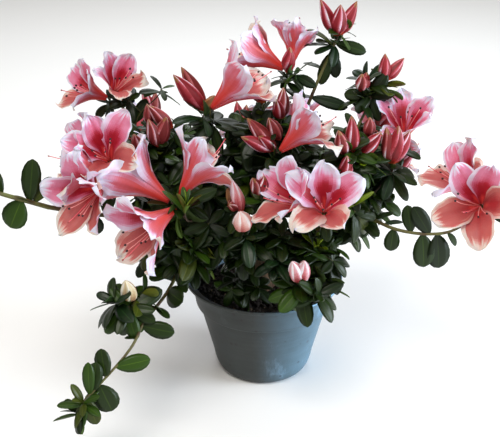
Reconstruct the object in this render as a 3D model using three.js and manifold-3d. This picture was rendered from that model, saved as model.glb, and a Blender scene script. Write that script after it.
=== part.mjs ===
// Azalea shrub in a plastic nursery pot. Millimetres, +Z up. The origin is the middle of the pot's
// flat underside, and -Y is the side that the plant shows to a viewer.
import * as THREE from "three";
import { mergeVertices } from "three/addons/utils/BufferGeometryUtils.js";
import Module from "manifold-3d";

const GAP = 0.3; // clearance between two solids that touch
const CORNER_GAP = 1.4 * GAP; // clearance at a corner, which leaves about GAP at the faces round it

const POT = {
  height: 84,
  rimRadius: 64,
  lipHeight: 3,
  lipDepth: 2.4,
  collarHeight: 22,
  collarStep: 2.6,
  collarTaper: 3.6, // how much wider the collar is under the lip than at its foot
  shoulderRadius: 52.6, // of the body, just under the collar
  heelRadius: 41.5, // of the body, just above the rounded heel
  heelHeight: 17,
  footRadius: 32, // of the flat underside
  wall: 1.6,
  floor: 2.2,
  sides: 24,
};
const DRAIN = { count: 5, radius: 3.4, ringRadius: 21, sides: 6 };
const SOIL = { top: 71, edgeDrop: 2, edgeWidth: 9 };

const TRUNK = { foot: [-2, 4, SOIL.top], top: [1, 7, 110], footRadius: 8.5, tipRadius: 4.6, flare: 3.2 };
const LIMB = { sides: 5, steps: 4 };

const MASS = { lumps: 7, lumpSharpness: 7, fineAbove: 38 }; // finer facets above this half size
// A bloom is a trumpet of petals: its outline is given as shares of its length and its mouth's radius.
const BLOOM = {
  petals: 5,
  sidesPerPetal: 3,
  notch: 0.15,
  length: 34,
  outline: [[0, 0], [0.5, 0.28], [1, 1], [0.86, 0]],
};

const COLOURS = {
  pot: { color: 0x74838c, roughness: 0.55 },
  soil: { color: 0x17120f, roughness: 0.95 },
  bark: { color: 0x5a4433, roughness: 0.85 },
  leaf: { color: 0x2c4a26, roughness: 0.5 },
  petal: { color: 0xe88a98, roughness: 0.6 },
};

// Boughs run from the trunk's fork into the masses of the crown.
const BOUGHS = [
  { name: "bough_middle", route: [[1, 7, 108], [0, 10, 126], [-2, 13, 160]], radii: [4.2, 3.0] },
  { name: "bough_left", route: [[0, 7, 98], [-26, 0, 112], [-58, -8, 138]], radii: [3.8, 2.4] },
  { name: "bough_right", route: [[1, 7, 102], [27, 2, 116], [58, -4, 140]], radii: [3.8, 2.4] },
  { name: "bough_front", route: [[0, 6, 94], [2, -18, 103], [4, -46, 122]], radii: [3.4, 2.2] },
  { name: "bough_back_left", route: [[0, 8, 92], [-22, 30, 108], [-52, 48, 132]], radii: [3.4, 2.2] },
  { name: "bough_back_right", route: [[2, 8, 96], [24, 30, 112], [54, 46, 136]], radii: [3.4, 2.2] },
];

// Shoots leave the crown and carry the outlying tufts and trusses.
const SHOOTS = [
  { name: "shoot_top", route: [[26, 4, 206], [42, 10, 247], [54, 20, 276]], radii: [2.1, 1.5] },
  { name: "shoot_top_left", route: [[10, 8, 206], [16, 16, 226], [18, 22, 246]], radii: [1.8, 1.4] },
  { name: "shoot_upper_right", route: [[62, -6, 190], [72, -2, 214], [84, 4, 234]], radii: [2.0, 1.5] },
  { name: "shoot_top_middle", route: [[-46, -4, 176], [-49, -10, 192], [-49, -14, 212]], radii: [2.2, 1.8] },
  { name: "shoot_upper_left", route: [[-78, 4, 178], [-104, 20, 203], [-114, 30, 222]], radii: [1.9, 1.4] },
  { name: "shoot_left", route: [[-76, -26, 158], [-128, -52, 162], [-156, -80, 180]], radii: [2.2, 1.9] },
  { name: "shoot_left_end", route: [[-156, -80, 180], [-182, -102, 202], [-206, -118, 218]],
    radii: [1.9, 1.5] },
  { name: "shoot_right", route: [[72, -42, 152], [104, -50, 147], [134, -54, 147], [164, -42, 156]],
    radii: [2.0, 1.5] },
  { name: "shoot_low_left", route: [[-56, -48, 119], [-74, -70, 106], [-86, -94, 100]], radii: [2.2, 1.8] },
  { name: "shoot_low_left_end", route: [[-86, -94, 100], [-97, -118, 90], [-123, -144, 62]],
    radii: [1.8, 1.3] },
];

// Masses of foliage: centre, half sizes, and how far their lumps stand out.
const CROWN = [
  { name: "crown_left", at: [-66, -12, 156], half: [44, 50, 42], lump: 0.2 },
  { name: "crown_right", at: [57, -8, 160], half: [45, 50, 40], lump: 0.2 },
  { name: "crown_middle", at: [-4, 10, 182], half: [42, 44, 34], lump: 0.18 },
  { name: "crown_front", at: [8, -48, 132], half: [60, 30, 34], lump: 0.2 },
  { name: "crown_low_left", at: [-66, -46, 130], half: [32, 24, 24], lump: 0.2 },
  { name: "crown_back", at: [4, 72, 150], half: [50, 42, 42], lump: 0.22 },
  { name: "crown_back_left", at: [-72, 54, 156], half: [40, 40, 40], lump: 0.22 },
  { name: "crown_back_right", at: [72, 52, 158], half: [38, 38, 38], lump: 0.22 },
];

// Tufts hold a rosette of leaves and its buds.
const TUFTS = [
  { name: "tuft_top", at: [52, 20, 278], half: [24, 18, 24], lump: 0.25 },
  { name: "tuft_upper_right", at: [86, 6, 236], half: [27, 18, 26], lump: 0.25 },
  { name: "tuft_left_buds", at: [-84, -22, 204], half: [20, 18, 22], lump: 0.25 },
  { name: "tuft_middle", at: [2, -20, 214], half: [22, 20, 20], lump: 0.22 },
  { name: "tuft_right_middle", at: [62, -34, 198], half: [24, 22, 25], lump: 0.22 },
  { name: "tuft_low_left", at: [-95, -90, 114], half: [29, 20, 24], lump: 0.22 },
  { name: "tuft_low_left_tip", at: [-125, -146, 58], half: [21, 16, 22], lump: 0.25 },
  { name: "tuft_low_middle", at: [30, -76, 113], half: [31, 20, 25], lump: 0.2 },
  { name: "tuft_low_front", at: [-16, -36, 95], half: [21, 12, 16], lump: 0.2 },
  { name: "tuft_left", at: [-160, -86, 190], half: [15, 12, 17], lump: 0.2 },
  { name: "tuft_left_end", at: [-206, -120, 220], half: [21, 18, 18], lump: 0.25 },
  { name: "tuft_right", at: [129, -52, 131], half: [19, 11, 16], lump: 0.2 },
];

// Trusses are tufts whose buds have opened, and their outline takes in each open bloom: the place
// of its calyx, the compass bearing and climb of its axis in degrees (bearing 0 is +X, 90 is +Y),
// and the radius of its mouth.
const TRUSSES = [
  { name: "truss_upper_left", at: [-116, 30, 222], half: [24, 18, 12], lump: 0.22,
    blooms: [
      { foot: [-119, 26, 226], bearing: -140, climb: 26, mouth: 21 },
      { foot: [-119, 28, 226], bearing: -60, climb: 50, mouth: 20 },
    ] },
  { name: "truss_left", at: [-110, -20, 178], half: [20, 38, 18], lump: 0.18,
    blooms: [
      { foot: [-114, -14, 186], bearing: -88, climb: 49, mouth: 26 },
      { foot: [-120, 0, 178], bearing: -168, climb: 28, mouth: 23 },
      { foot: [-112, -42, 182], bearing: -147, climb: 26, mouth: 24 },
      { foot: [-108, -52, 172], bearing: -124, climb: 2, mouth: 25 },
    ] },
  { name: "truss_left_middle", at: [-66, -60, 174], half: [21, 17, 17], lump: 0.2,
    blooms: [
      { foot: [-74, -64, 182], bearing: -149, climb: 40, mouth: 25 },
      { foot: [-72, -66, 168], bearing: -130, climb: -26, mouth: 26 },
      { foot: [-58, -58, 182], bearing: -31, climb: 60, mouth: 25 },
    ] },
  { name: "truss_top_middle", at: [-49, -16, 229], half: [27, 23, 31], lump: 0.2,
    blooms: [{ foot: [-42, -14, 231], bearing: -22, climb: 52, mouth: 25 }] },
  { name: "truss_top", at: [18, 22, 246], half: [21, 17, 12], lump: 0.22,
    blooms: [
      { foot: [18, 22, 247], bearing: -160, climb: 24, mouth: 22 },
      { foot: [18, 22, 249], bearing: -84, climb: 72, mouth: 22 },
    ] },
  { name: "truss_middle", at: [24, -30, 202], half: [16, 16, 12], lump: 0.2,
    blooms: [{ foot: [16, -34, 204], bearing: -40, climb: 42, mouth: 23 }] },
  { name: "truss_front", at: [36, -48, 170], half: [18, 14, 14], lump: 0.2,
    blooms: [
      { foot: [44, -54, 172], bearing: -102, climb: 26, mouth: 27 },
      { foot: [34, -50, 172], bearing: -150, climb: 34, mouth: 24 },
    ] },
  { name: "truss_right", at: [101, -14, 192], half: [23, 22, 20], lump: 0.22,
    blooms: [{ foot: [106, 2, 196], bearing: -104, climb: 70, mouth: 25 }] },
  { name: "truss_far_right", at: [163, -38, 160], half: [17, 15, 13], lump: 0.2,
    blooms: [
      { foot: [160, -44, 160], bearing: -112, climb: 26, mouth: 28 },
      { foot: [164, -34, 166], bearing: -160, climb: 50, mouth: 23 },
    ] },
  { name: "truss_back_left", at: [-84, 78, 176], half: [20, 18, 16], lump: 0.2,
    blooms: [
      { foot: [-86, 84, 178], bearing: 128, climb: 36, mouth: 25 },
      { foot: [-96, 70, 176], bearing: 178, climb: 28, mouth: 24 },
    ] },
  { name: "truss_back", at: [0, 98, 164], half: [20, 16, 16], lump: 0.2,
    blooms: [
      { foot: [-6, 102, 166], bearing: 104, climb: 20, mouth: 26 },
      { foot: [8, 98, 170], bearing: 60, climb: 50, mouth: 25 },
    ] },
  { name: "truss_back_top", at: [28, 62, 188], half: [20, 18, 14], lump: 0.2,
    blooms: [{ foot: [28, 64, 190], bearing: 100, climb: 56, mouth: 25 }] },
  { name: "truss_back_right", at: [94, 72, 174], half: [19, 18, 16], lump: 0.2,
    blooms: [
      { foot: [96, 78, 176], bearing: 56, climb: 32, mouth: 25 },
      { foot: [104, 66, 174], bearing: 4, climb: 24, mouth: 24 },
    ] },
];

const wasm = await Module();
wasm.setup();

// The same closed surface with one vertex at each corner.
function welded(geometry) {
  const bare = geometry.clone();
  bare.deleteAttribute("normal");
  bare.deleteAttribute("uv");
  return mergeVertices(bare, 1e-3);
}

// A closed three.js geometry as a solid that can be joined and cut.
function solidOf(geometry) {
  const merged = welded(geometry);
  const corners = [];
  for (let i = 0; i < merged.index.count; i += 3) {
    const [a, b, c] = [0, 1, 2].map((k) => merged.index.getX(i + k));
    if (a !== b && b !== c && c !== a) corners.push(a, b, c);
  }
  const vertProperties = new Float32Array(merged.attributes.position.array);
  return new wasm.Manifold(new wasm.Mesh({ numProp: 3, vertProperties, triVerts: new Uint32Array(corners) }));
}

function geometryOf(solid) {
  const { vertProperties, triVerts } = solid.getMesh();
  const geometry = new THREE.BufferGeometry();
  geometry.setAttribute("position", new THREE.BufferAttribute(new Float32Array(vertProperties), 3));
  geometry.setIndex(new THREE.BufferAttribute(new Uint32Array(triVerts), 1));
  geometry.computeVertexNormals();
  return geometry;
}

// A solid a little larger all round than the geometry, so that what it cuts keeps its distance.
function clearanceOf(geometry) {
  const surface = welded(geometry);
  surface.computeVertexNormals();
  const { position, normal } = surface.attributes;
  const [corner, away] = [new THREE.Vector3(), new THREE.Vector3()];
  for (let i = 0; i < position.count; i++) {
    away.fromBufferAttribute(normal, i).multiplyScalar(CORNER_GAP);
    corner.fromBufferAttribute(position, i).add(away);
    position.setXYZ(i, corner.x, corner.y, corner.z);
  }
  return solidOf(surface).add(solidOf(geometry));
}

// The largest piece that a cut leaves.
function largest(solid) {
  return solid.decompose().reduce((best, piece) => (piece.volume() > best.volume() ? piece : best));
}

const shoulderHeight = POT.height - POT.collarHeight;
const collarRadius = POT.shoulderRadius + POT.collarStep;
const heelCurve = new THREE.QuadraticBezierCurve(
  new THREE.Vector2(POT.footRadius, 0),
  new THREE.Vector2(POT.heelRadius - 2.5, 0),
  new THREE.Vector2(POT.heelRadius, POT.heelHeight),
);

// The inside of the pot from its floor to its lip, as radius and height, drawn in by an inset.
function innerOutline(inset) {
  const inwards = POT.wall + inset;
  const upwards = POT.floor + inset;
  const lift = (y) => y + upwards * (1 - y / POT.heelHeight);
  const heel = heelCurve.getPoints(2).map(({ x, y }) => [x - inwards, lift(y)]);
  const shoulder = [POT.shoulderRadius - inwards, shoulderHeight];
  const lip = [collarRadius + POT.collarTaper - inwards, POT.height - POT.lipHeight];
  return [...heel, shoulder, lip];
}

function turned(outline, sides) {
  const points = outline.map(([radius, z]) => new THREE.Vector2(radius, z));
  return new THREE.LatheGeometry(points, sides).rotateX(Math.PI / 2);
}

function potGeometry() {
  const outside = [
    [0, 0],
    ...heelCurve.getPoints(3).map(({ x, y }) => [x, y]),
    [POT.shoulderRadius, shoulderHeight],
    [collarRadius, shoulderHeight + 0.8],
    [collarRadius + POT.collarTaper, POT.height - POT.lipHeight],
    [POT.rimRadius, POT.height - POT.lipHeight + 0.8],
    [POT.rimRadius, POT.height],
    [POT.rimRadius - POT.lipDepth - POT.wall, POT.height],
  ];
  const inside = innerOutline(0).reverse();
  return turned([...outside, ...inside, [0, POT.floor]], POT.sides);
}

function drainHoles() {
  const holes = [];
  for (let i = 0; i < DRAIN.count; i++) {
    const angle = (i / DRAIN.count) * 2 * Math.PI;
    const hole = new THREE.CylinderGeometry(DRAIN.radius, DRAIN.radius, 3 * POT.floor, DRAIN.sides);
    hole.rotateX(Math.PI / 2);
    hole.translate(DRAIN.ringRadius * Math.cos(angle), DRAIN.ringRadius * Math.sin(angle), POT.floor / 2);
    holes.push(hole);
  }
  return holes;
}

function soilGeometry() {
  const wall = innerOutline(GAP);
  const [shoulder, rim] = wall.slice(-2);
  const edgeHeight = SOIL.top - SOIL.edgeDrop;
  const edgeRadius = THREE.MathUtils.mapLinear(edgeHeight, shoulder[1], rim[1], shoulder[0], rim[0]);
  const surface = [[edgeRadius, edgeHeight], [edgeRadius - SOIL.edgeWidth, SOIL.top], [0, SOIL.top]];
  return turned([[0, wall[0][1]], ...wall.slice(0, -1), ...surface], POT.sides);
}

// A round limb that tapers along a smooth route, with an optional flare at its foot.
function limbGeometry(route, [footRadius, tipRadius], flare = 0) {
  const curve = new THREE.CatmullRomCurve3(route.map((p) => new THREE.Vector3(...p)));
  const limb = new THREE.CylinderGeometry(1, 1, 1, LIMB.sides, LIMB.steps);
  const { position } = limb.attributes;
  const frames = curve.computeFrenetFrames(LIMB.steps, false);
  for (let i = 0; i < position.count; i++) {
    const share = position.getY(i) + 0.5;
    const step = Math.round(share * LIMB.steps);
    const radius = THREE.MathUtils.lerp(footRadius, tipRadius, share) + flare * Math.exp(-9 * share);
    const point = curve.getPointAt(share);
    point.addScaledVector(frames.normals[step], position.getX(i) * radius);
    point.addScaledVector(frames.binormals[step], -position.getZ(i) * radius);
    position.setXYZ(i, point.x, point.y, point.z);
  }
  return limb;
}

// The trunk stands on a level cut.
function trunkGeometry() {
  const middle = TRUNK.foot.map((v, i) => (v + TRUNK.top[i]) / 2);
  const route = [TRUNK.foot, [TRUNK.foot[0], TRUNK.foot[1], TRUNK.foot[2] + 8], middle, TRUNK.top];
  const trunk = limbGeometry(route, [TRUNK.footRadius, TRUNK.tipRadius], TRUNK.flare);
  const { position } = trunk.attributes;
  const cut = SOIL.top + GAP;
  for (let i = 0; i < position.count; i++) if (position.getZ(i) < cut + 1) position.setZ(i, cut);
  return trunk;
}

// Repeatable numbers from 0 to 1.
function numbers(seed) {
  let state = seed * 2654435761 + 12345;
  return () => {
    state = (Math.imul(state ^ (state >>> 15), 2246822519) + 3266489917) >>> 0;
    return state / 4294967296;
  };
}

// A lumpy ellipsoid: each lump swells the surface round one direction.
function massGeometry({ half, lump }, seed) {
  const next = numbers(seed);
  const lumps = Array.from({ length: MASS.lumps }, () => {
    const z = 2 * next() - 1;
    const turn = 2 * Math.PI * next();
    const flat = Math.sqrt(1 - z * z);
    return new THREE.Vector3(flat * Math.cos(turn), flat * Math.sin(turn), z);
  });
  const mass = new THREE.IcosahedronGeometry(1, Math.max(...half) > MASS.fineAbove ? 2 : 1);
  const { position } = mass.attributes;
  const way = new THREE.Vector3();
  for (let i = 0; i < position.count; i++) {
    way.fromBufferAttribute(position, i).normalize();
    const swell = Math.max(...lumps.map((l) => Math.exp(-MASS.lumpSharpness * (1 - way.dot(l)))));
    way.multiplyScalar(1 - lump + lump * 1.3 * swell);
    position.setXYZ(i, way.x * half[0], way.y * half[1], way.z * half[2]);
  }
  return mass;
}

// A bloom as a solid trumpet from its calyx to its mouth, with a lobe for each petal.
function bloomGeometry({ bearing, climb, mouth }) {
  const { length, outline } = BLOOM;
  const points = outline.map(([along, across]) => new THREE.Vector2(mouth * across, length * along));
  const sides = BLOOM.petals * BLOOM.sidesPerPetal;
  const bloom = new THREE.LatheGeometry(points, sides);
  bloom.rotateY(Math.PI / sides);
  const { position } = bloom.attributes;
  for (let i = 0; i < position.count; i++) {
    const [x, y, z] = [position.getX(i), position.getY(i), position.getZ(i)];
    const spread = Math.hypot(x, z) / mouth;
    const lobe = 1 - BLOOM.notch * spread * (1 - Math.cos(BLOOM.petals * Math.atan2(x, z)));
    position.setXYZ(i, x * lobe, y, z * lobe);
  }
  const [turn, rise] = [bearing, climb].map(THREE.MathUtils.degToRad);
  const level = Math.cos(rise);
  const axis = new THREE.Vector3(level * Math.cos(turn), level * Math.sin(turn), Math.sin(rise));
  return bloom.applyQuaternion(new THREE.Quaternion().setFromUnitVectors(new THREE.Vector3(0, 1, 0), axis));
}

const plant = new THREE.Group();
const cutters = []; // what later solids have to keep clear of

function materialOf(finish) {
  return new THREE.MeshStandardMaterial({ ...COLOURS[finish], metalness: 0, flatShading: true });
}

// Adds a solid as a mesh whose own origin is at the given point.
function add(name, solid, origin, finish) {
  const geometry = geometryOf(solid).translate(...origin.map((v) => -v));
  const mesh = new THREE.Mesh(geometry, materialOf(finish));
  mesh.name = name;
  mesh.position.set(...origin);
  plant.add(mesh);
}

// Joins placed geometries, cuts them clear of the earlier solids, and adds the largest piece left.
function fit(name, geometries, origin, finish) {
  let solid = geometries.map(solidOf).reduce((joined, piece) => joined.add(piece));
  for (const cutter of cutters) solid = solid.subtract(cutter);
  add(name, largest(solid), origin, finish);
  geometries.forEach((geometry) => cutters.push(clearanceOf(geometry)));
}

function addPot() {
  let pot = solidOf(potGeometry());
  for (const hole of drainHoles()) pot = pot.subtract(solidOf(hole));
  add("pot", pot, [0, 0, 0], "pot");
  add("root_ball", solidOf(soilGeometry()), [0, 0, 0], "soil");
}

addPot();
[...TRUSSES, ...TUFTS, ...CROWN].forEach((mass, i) => {
  const foliage = massGeometry(mass, i + 1).translate(...mass.at);
  const blooms = (mass.blooms ?? []).map((bloom) => bloomGeometry(bloom).translate(...bloom.foot));
  fit(mass.name, [foliage, ...blooms], mass.at, "leaf");
});
fit("trunk", [trunkGeometry()], [...TRUNK.foot.slice(0, 2), SOIL.top], "bark");
[...BOUGHS, ...SHOOTS].forEach(({ name, route, radii }) => {
  fit(name, [limbGeometry(route, radii)], route[0], "bark");
});

export default plant;
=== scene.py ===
import math

import bpy
import numpy as np
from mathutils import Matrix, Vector, noise


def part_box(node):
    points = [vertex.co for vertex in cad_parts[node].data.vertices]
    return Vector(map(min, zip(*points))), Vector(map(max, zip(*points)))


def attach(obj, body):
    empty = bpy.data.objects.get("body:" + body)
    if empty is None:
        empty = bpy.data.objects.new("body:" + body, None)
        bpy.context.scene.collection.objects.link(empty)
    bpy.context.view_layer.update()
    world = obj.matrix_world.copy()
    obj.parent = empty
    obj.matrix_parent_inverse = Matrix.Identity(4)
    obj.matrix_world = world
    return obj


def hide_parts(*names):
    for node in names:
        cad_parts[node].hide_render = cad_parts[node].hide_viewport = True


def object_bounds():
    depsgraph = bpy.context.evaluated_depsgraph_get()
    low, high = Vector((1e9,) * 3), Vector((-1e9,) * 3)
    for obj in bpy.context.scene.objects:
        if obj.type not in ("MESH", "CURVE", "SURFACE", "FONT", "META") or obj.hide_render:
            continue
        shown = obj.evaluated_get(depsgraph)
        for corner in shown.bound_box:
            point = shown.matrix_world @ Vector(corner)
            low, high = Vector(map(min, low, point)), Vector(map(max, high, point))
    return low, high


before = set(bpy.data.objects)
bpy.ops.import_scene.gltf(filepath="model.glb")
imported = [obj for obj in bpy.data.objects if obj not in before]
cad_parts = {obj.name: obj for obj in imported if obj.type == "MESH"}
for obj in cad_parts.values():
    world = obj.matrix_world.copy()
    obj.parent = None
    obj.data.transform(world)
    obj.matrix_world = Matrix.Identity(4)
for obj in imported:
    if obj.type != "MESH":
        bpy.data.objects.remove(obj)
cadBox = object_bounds()
boxes = {name: [np.array(corner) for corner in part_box(name)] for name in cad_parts}
mm = 0.001
fullTurn = 2 * math.pi
leafTurn = 2.39996  # radians from one leaf of a shoot to the next
skyward = np.array([0.0, 0.0, 1.0])
seeds = {"crown": 100, "whorls": 300, "blooms": 400, "buds": 700, "crumbs": 77}
print("frame loaded:", len(boxes), "nodes")


def place(node, x, y, z):
    # a point by its share of a node's box, 0 at the low corner and 1 at the high one
    low, high = boxes[node]
    return low + (high - low) * np.array([x, y, z])


def heading(bearing, climb):
    # a direction from a bearing, anticlockwise from +X, and a climb above level, in degrees
    around = math.radians(bearing)
    up = math.radians(climb)
    return np.array([math.cos(up) * math.cos(around), math.cos(up) * math.sin(around), math.sin(up)])


def unit(vector):
    return vector / max(np.linalg.norm(vector), 1e-9)


def across(axis, towards=skyward):
    # two directions square to the axis, the first as near to `towards` as it can be
    first = towards - axis * np.dot(towards, axis)
    if np.linalg.norm(first) < 0.05:
        first = np.cross(axis, [0.31, 0.95, 0.05])
    first = unit(first)
    return first, np.cross(axis, first)


def spoke(first, second, angle):
    # a direction on the circle from the first direction towards the second
    return math.cos(angle) * first + math.sin(angle) * second


def ringAngles(sides):
    return np.arange(sides) / sides * fullTurn


def smoothStep(low, high, value):
    share = np.clip((value - low) / (high - low), 0, 1)
    return share * share * (3 - 2 * share)


def wobble(value, dice, waves=3):
    # a smooth random line of about -1 to 1, summed from waves of any phase
    total = 0
    for wave in range(1, waves + 1):
        total = total + np.sin(value * wave + dice.uniform(0, 6.28)) / wave
    return total / 1.5


def gridFaces(rows, columns, wrap=False):
    # quads of a grid of points stored row by row. A wrapped grid is a tube
    reach = columns if wrap else columns - 1
    row, column = np.meshgrid(np.arange(rows - 1), np.arange(reach), indexing="ij")
    after = (column + 1) % columns
    here, there = row * columns, (row + 1) * columns
    return np.stack((here + column, here + after, there + after, there + column), -1).reshape(-1, 4)


def capFaces(start, sides):
    # quads over the end ring of a tube with an even number of sides
    return np.array([[start, start + i, start + i + 1, start + i + 2] for i in range(1, sides - 1, 2)])


def added(name, data):
    # a new object in the scene
    thing = bpy.data.objects.new(name, data)
    bpy.context.scene.collection.objects.link(thing)
    return thing


def settle(mesh, name, replaced=()):
    # puts a mesh in the scene as a piece that rides on the part
    piece = added(name, mesh)
    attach(piece, "root")
    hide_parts(*replaced)
    return piece


class Pile:
    # gathers shapes of one kind, which become one joined mesh
    def __init__(self):
        self.points = []
        self.faces = []
        self.shades = []
        self.total = 0

    def add(self, points, faces, shades):
        points = np.asarray(points, float).reshape(-1, 3)
        self.points.append(points)
        self.faces.append(np.asarray(faces, int) + self.total)
        self.shades.append(np.broadcast_to(shades, len(faces)))
        self.total += len(points)

    def finish(self, name, materials, slot, replaced=()):
        points = np.concatenate(self.points).astype(np.float32)
        faces = np.concatenate(self.faces).astype(np.int32)
        shades = np.concatenate(self.shades).astype(np.int32)
        mesh = bpy.data.meshes.new(name)
        mesh.vertices.add(len(points))
        mesh.vertices.foreach_set("co", points.ravel())
        mesh.loops.add(faces.size)
        mesh.loops.foreach_set("vertex_index", faces.ravel())
        mesh.polygons.add(len(faces))
        mesh.polygons.foreach_set("loop_start", np.arange(0, faces.size, 4, dtype=np.int32))
        mesh.polygons.foreach_set("material_index", shades)
        mesh.polygons.foreach_set("use_smooth", np.ones(len(faces), bool))
        mesh.update(calc_edges=True)
        mesh.validate()
        for material in materials:
            mesh.materials.append(material)
        print("  ", name, len(faces) * 2, "triangles")
        return settle(mesh, name, replaced)


def curve(points, count):
    # a smooth line through the points, cut in equal shares
    points = np.asarray(points, float)
    padded = np.vstack([2 * points[0] - points[1], points, 2 * points[-1] - points[-2]])
    span = np.linspace(0, len(points) - 1, count)
    index = np.minimum(span.astype(int), len(points) - 2)
    t = (span - index)[:, None]
    a, b, c, d = (padded[index + k] for k in range(4))
    return 0.5 * (2 * b + (c - a) * t + (2 * a - 5 * b + 4 * c - d) * t**2 + (3 * b - a - 3 * c + d) * t**3)


def tube(line, radii, sides, relief=None):
    # a round limb along a line. `relief` gives the skin's rise at each ring and side
    line = np.asarray(line, float)
    radii = np.broadcast_to(radii, len(line))
    ways = np.gradient(line, axis=0)
    side = across(unit(ways[0]))[0]
    angles = ringAngles(sides)
    rings = []
    for k, way in enumerate(ways):
        way = unit(way)
        side = unit(side - way * np.dot(side, way))
        other = np.cross(way, side)
        reach = radii[k] + (0 if relief is None else relief[k])
        outward = np.outer(np.cos(angles) * reach, side)
        rings.append(line[k] + outward + np.outer(np.sin(angles) * reach, other))
    faces = [gridFaces(len(line), sides, wrap=True), capFaces((len(line) - 1) * sides, sides)]
    return np.concatenate(rings), np.concatenate(faces)


class Value:
    # one socket of a material. A sum on it adds its Math node
    def __init__(self, finish, socket):
        self.finish = finish
        self.socket = socket

    def worked(self, operation, *terms):
        return self.finish.node("ShaderNodeMath", {"operation": operation}, dict(enumerate(terms)))

    def __add__(self, other):
        return self.worked("ADD", self, other)

    def __radd__(self, other):
        return self.worked("ADD", other, self)

    def __sub__(self, other):
        return self.worked("SUBTRACT", self, other)

    def __rsub__(self, other):
        return self.worked("SUBTRACT", other, self)

    def __mul__(self, other):
        return self.worked("MULTIPLY", self, other)

    def __rmul__(self, other):
        return self.worked("MULTIPLY", other, self)

    def clipped(self, low, high):
        # 0 at low and 1 at high
        return self.finish.node("ShaderNodeMapRange", {}, {"Value": self, "From Min": low, "From Max": high})


class Finish:
    # one material. Constants sit on the shader's own sockets, and what varies is fed in by name
    def __init__(self, name, **constants):
        self.material = bpy.data.materials.new(name)
        self.material.use_nodes = True
        self.tree = self.material.node_tree
        self.shader = self.tree.nodes["Principled BSDF"]
        for socket, value in constants.items():
            self.shader.inputs[socket.replace("_", " ")].default_value = value

    def node(self, kind, settings, inputs, output=0):
        made = self.tree.nodes.new(kind)
        for name, value in settings.items():
            setattr(made, name, value)
        for name, value in inputs.items():
            self.join(made.inputs[name], value)
        return Value(self, made.outputs[output])

    def join(self, socket, value):
        if isinstance(value, Value):
            self.tree.links.new(value.socket, socket)
        else:
            socket.default_value = value

    def feed(self, name, value):
        self.join(self.shader.inputs[name], value)

    def at(self):
        return self.node("ShaderNodeTexCoord", {}, {}, "Object")

    def cloud(self, scale, detail=3.0, rough=0.55, stretch=None):
        spot = self.at()
        if stretch:
            spot = self.node("ShaderNodeVectorMath", {"operation": "MULTIPLY"}, {0: spot, 1: stretch})
        inputs = {"Vector": spot, "Scale": scale, "Detail": detail, "Roughness": rough}
        return self.node("ShaderNodeTexNoise", {}, inputs)

    def grains(self, scale):
        inputs = {"Vector": self.at(), "Scale": scale}
        return self.node("ShaderNodeTexVoronoi", {"feature": "F1"}, inputs, "Distance")

    def mix(self, share, first, second):
        return self.node("ShaderNodeMix", {"data_type": "RGBA"}, {0: share, 6: first, 7: second}, 2)

    def bump(self, height, strength, distance):
        inputs = {"Height": height, "Strength": strength, "Distance": distance}
        self.feed("Normal", self.node("ShaderNodeBump", {}, inputs))


def tone(red, green, blue):
    # a display colour of 0 to 255 as the linear colour that shaders take
    def linear(level):
        return ((level / 255 + 0.055) / 1.055) ** 2.4 if level > 10 else level / 3295
    return (linear(red), linear(green), linear(blue), 1.0)


def plain(name, colour, roughness):
    # an even finish, for shapes too small to show more
    return Finish(name, Base_Color=tone(*colour), Roughness=roughness).material


def ramp(name, stops, levels, constants, paintedGlow=0.0):
    # plain materials along a range of colours, the first stop first
    made = []
    for level in range(levels):
        span = level / (levels - 1) * (len(stops) - 1)
        index = min(int(span), len(stops) - 2)
        ends = zip(tone(*stops[index]), tone(*stops[index + 1]))
        colour = tuple(a + (b - a) * (span - index) for a, b in ends)
        # painted glow: emission that stands in for light coming through the petal, most of it at the last
        # stop
        glowStrength = paintedGlow * (1 + 3 * (level / (levels - 1)) ** 4)
        look = dict(constants, Base_Color=colour, Emission_Color=colour, Emission_Strength=glowStrength)
        made.append(Finish(f"{name}{level:02d}", **look).material)
    return made


def nearestShade(heat, levels):
    # the index of the ramp's material for a heat of 0 to 1
    return np.clip(np.round(heat * (levels - 1)), 0, levels - 1).astype(int)


# limbs: the trunk, boughs and shoots, each along shares of its own node and those it joins

limbs = {
    # node: radius in mm at the foot and the tip, and the places that it runs through
    "trunk": (8.6, 4.6, [
        ("trunk", 0.57, 0.5, 0.0), ("trunk", 0.66, 0.52, 0.5), ("trunk", 0.72, 0.6, 1.0)]),
    "bough_middle": (4.3, 2.6, [
        ("trunk", 0.72, 0.6, 0.95), ("bough_middle", 0.4, 0.45, 0.4), ("crown_middle", 0.5, 0.55, 0.2)]),
    "bough_left": (3.9, 2.4, [
        ("trunk", 0.68, 0.6, 0.7), ("bough_left", 0.5, 0.45, 0.5), ("crown_left", 0.55, 0.55, 0.32)]),
    "bough_right": (3.9, 2.4, [
        ("trunk", 0.76, 0.6, 0.78), ("bough_right", 0.55, 0.6, 0.55), ("crown_right", 0.45, 0.55, 0.28)]),
    "bough_front": (3.5, 2.2, [
        ("trunk", 0.68, 0.55, 0.6), ("bough_front", 0.6, 0.45, 0.35), ("crown_front", 0.45, 0.55, 0.4)]),
    "bough_back_left": (3.5, 2.2, [
        ("trunk", 0.66, 0.7, 0.55), ("bough_back_left", 0.5, 0.55, 0.45),
        ("crown_back_left", 0.75, 0.5, 0.25)]),
    "bough_back_right": (3.5, 2.2, [
        ("trunk", 0.74, 0.7, 0.65), ("bough_back_right", 0.5, 0.55, 0.45),
        ("crown_back_right", 0.25, 0.5, 0.25)]),
}
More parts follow.
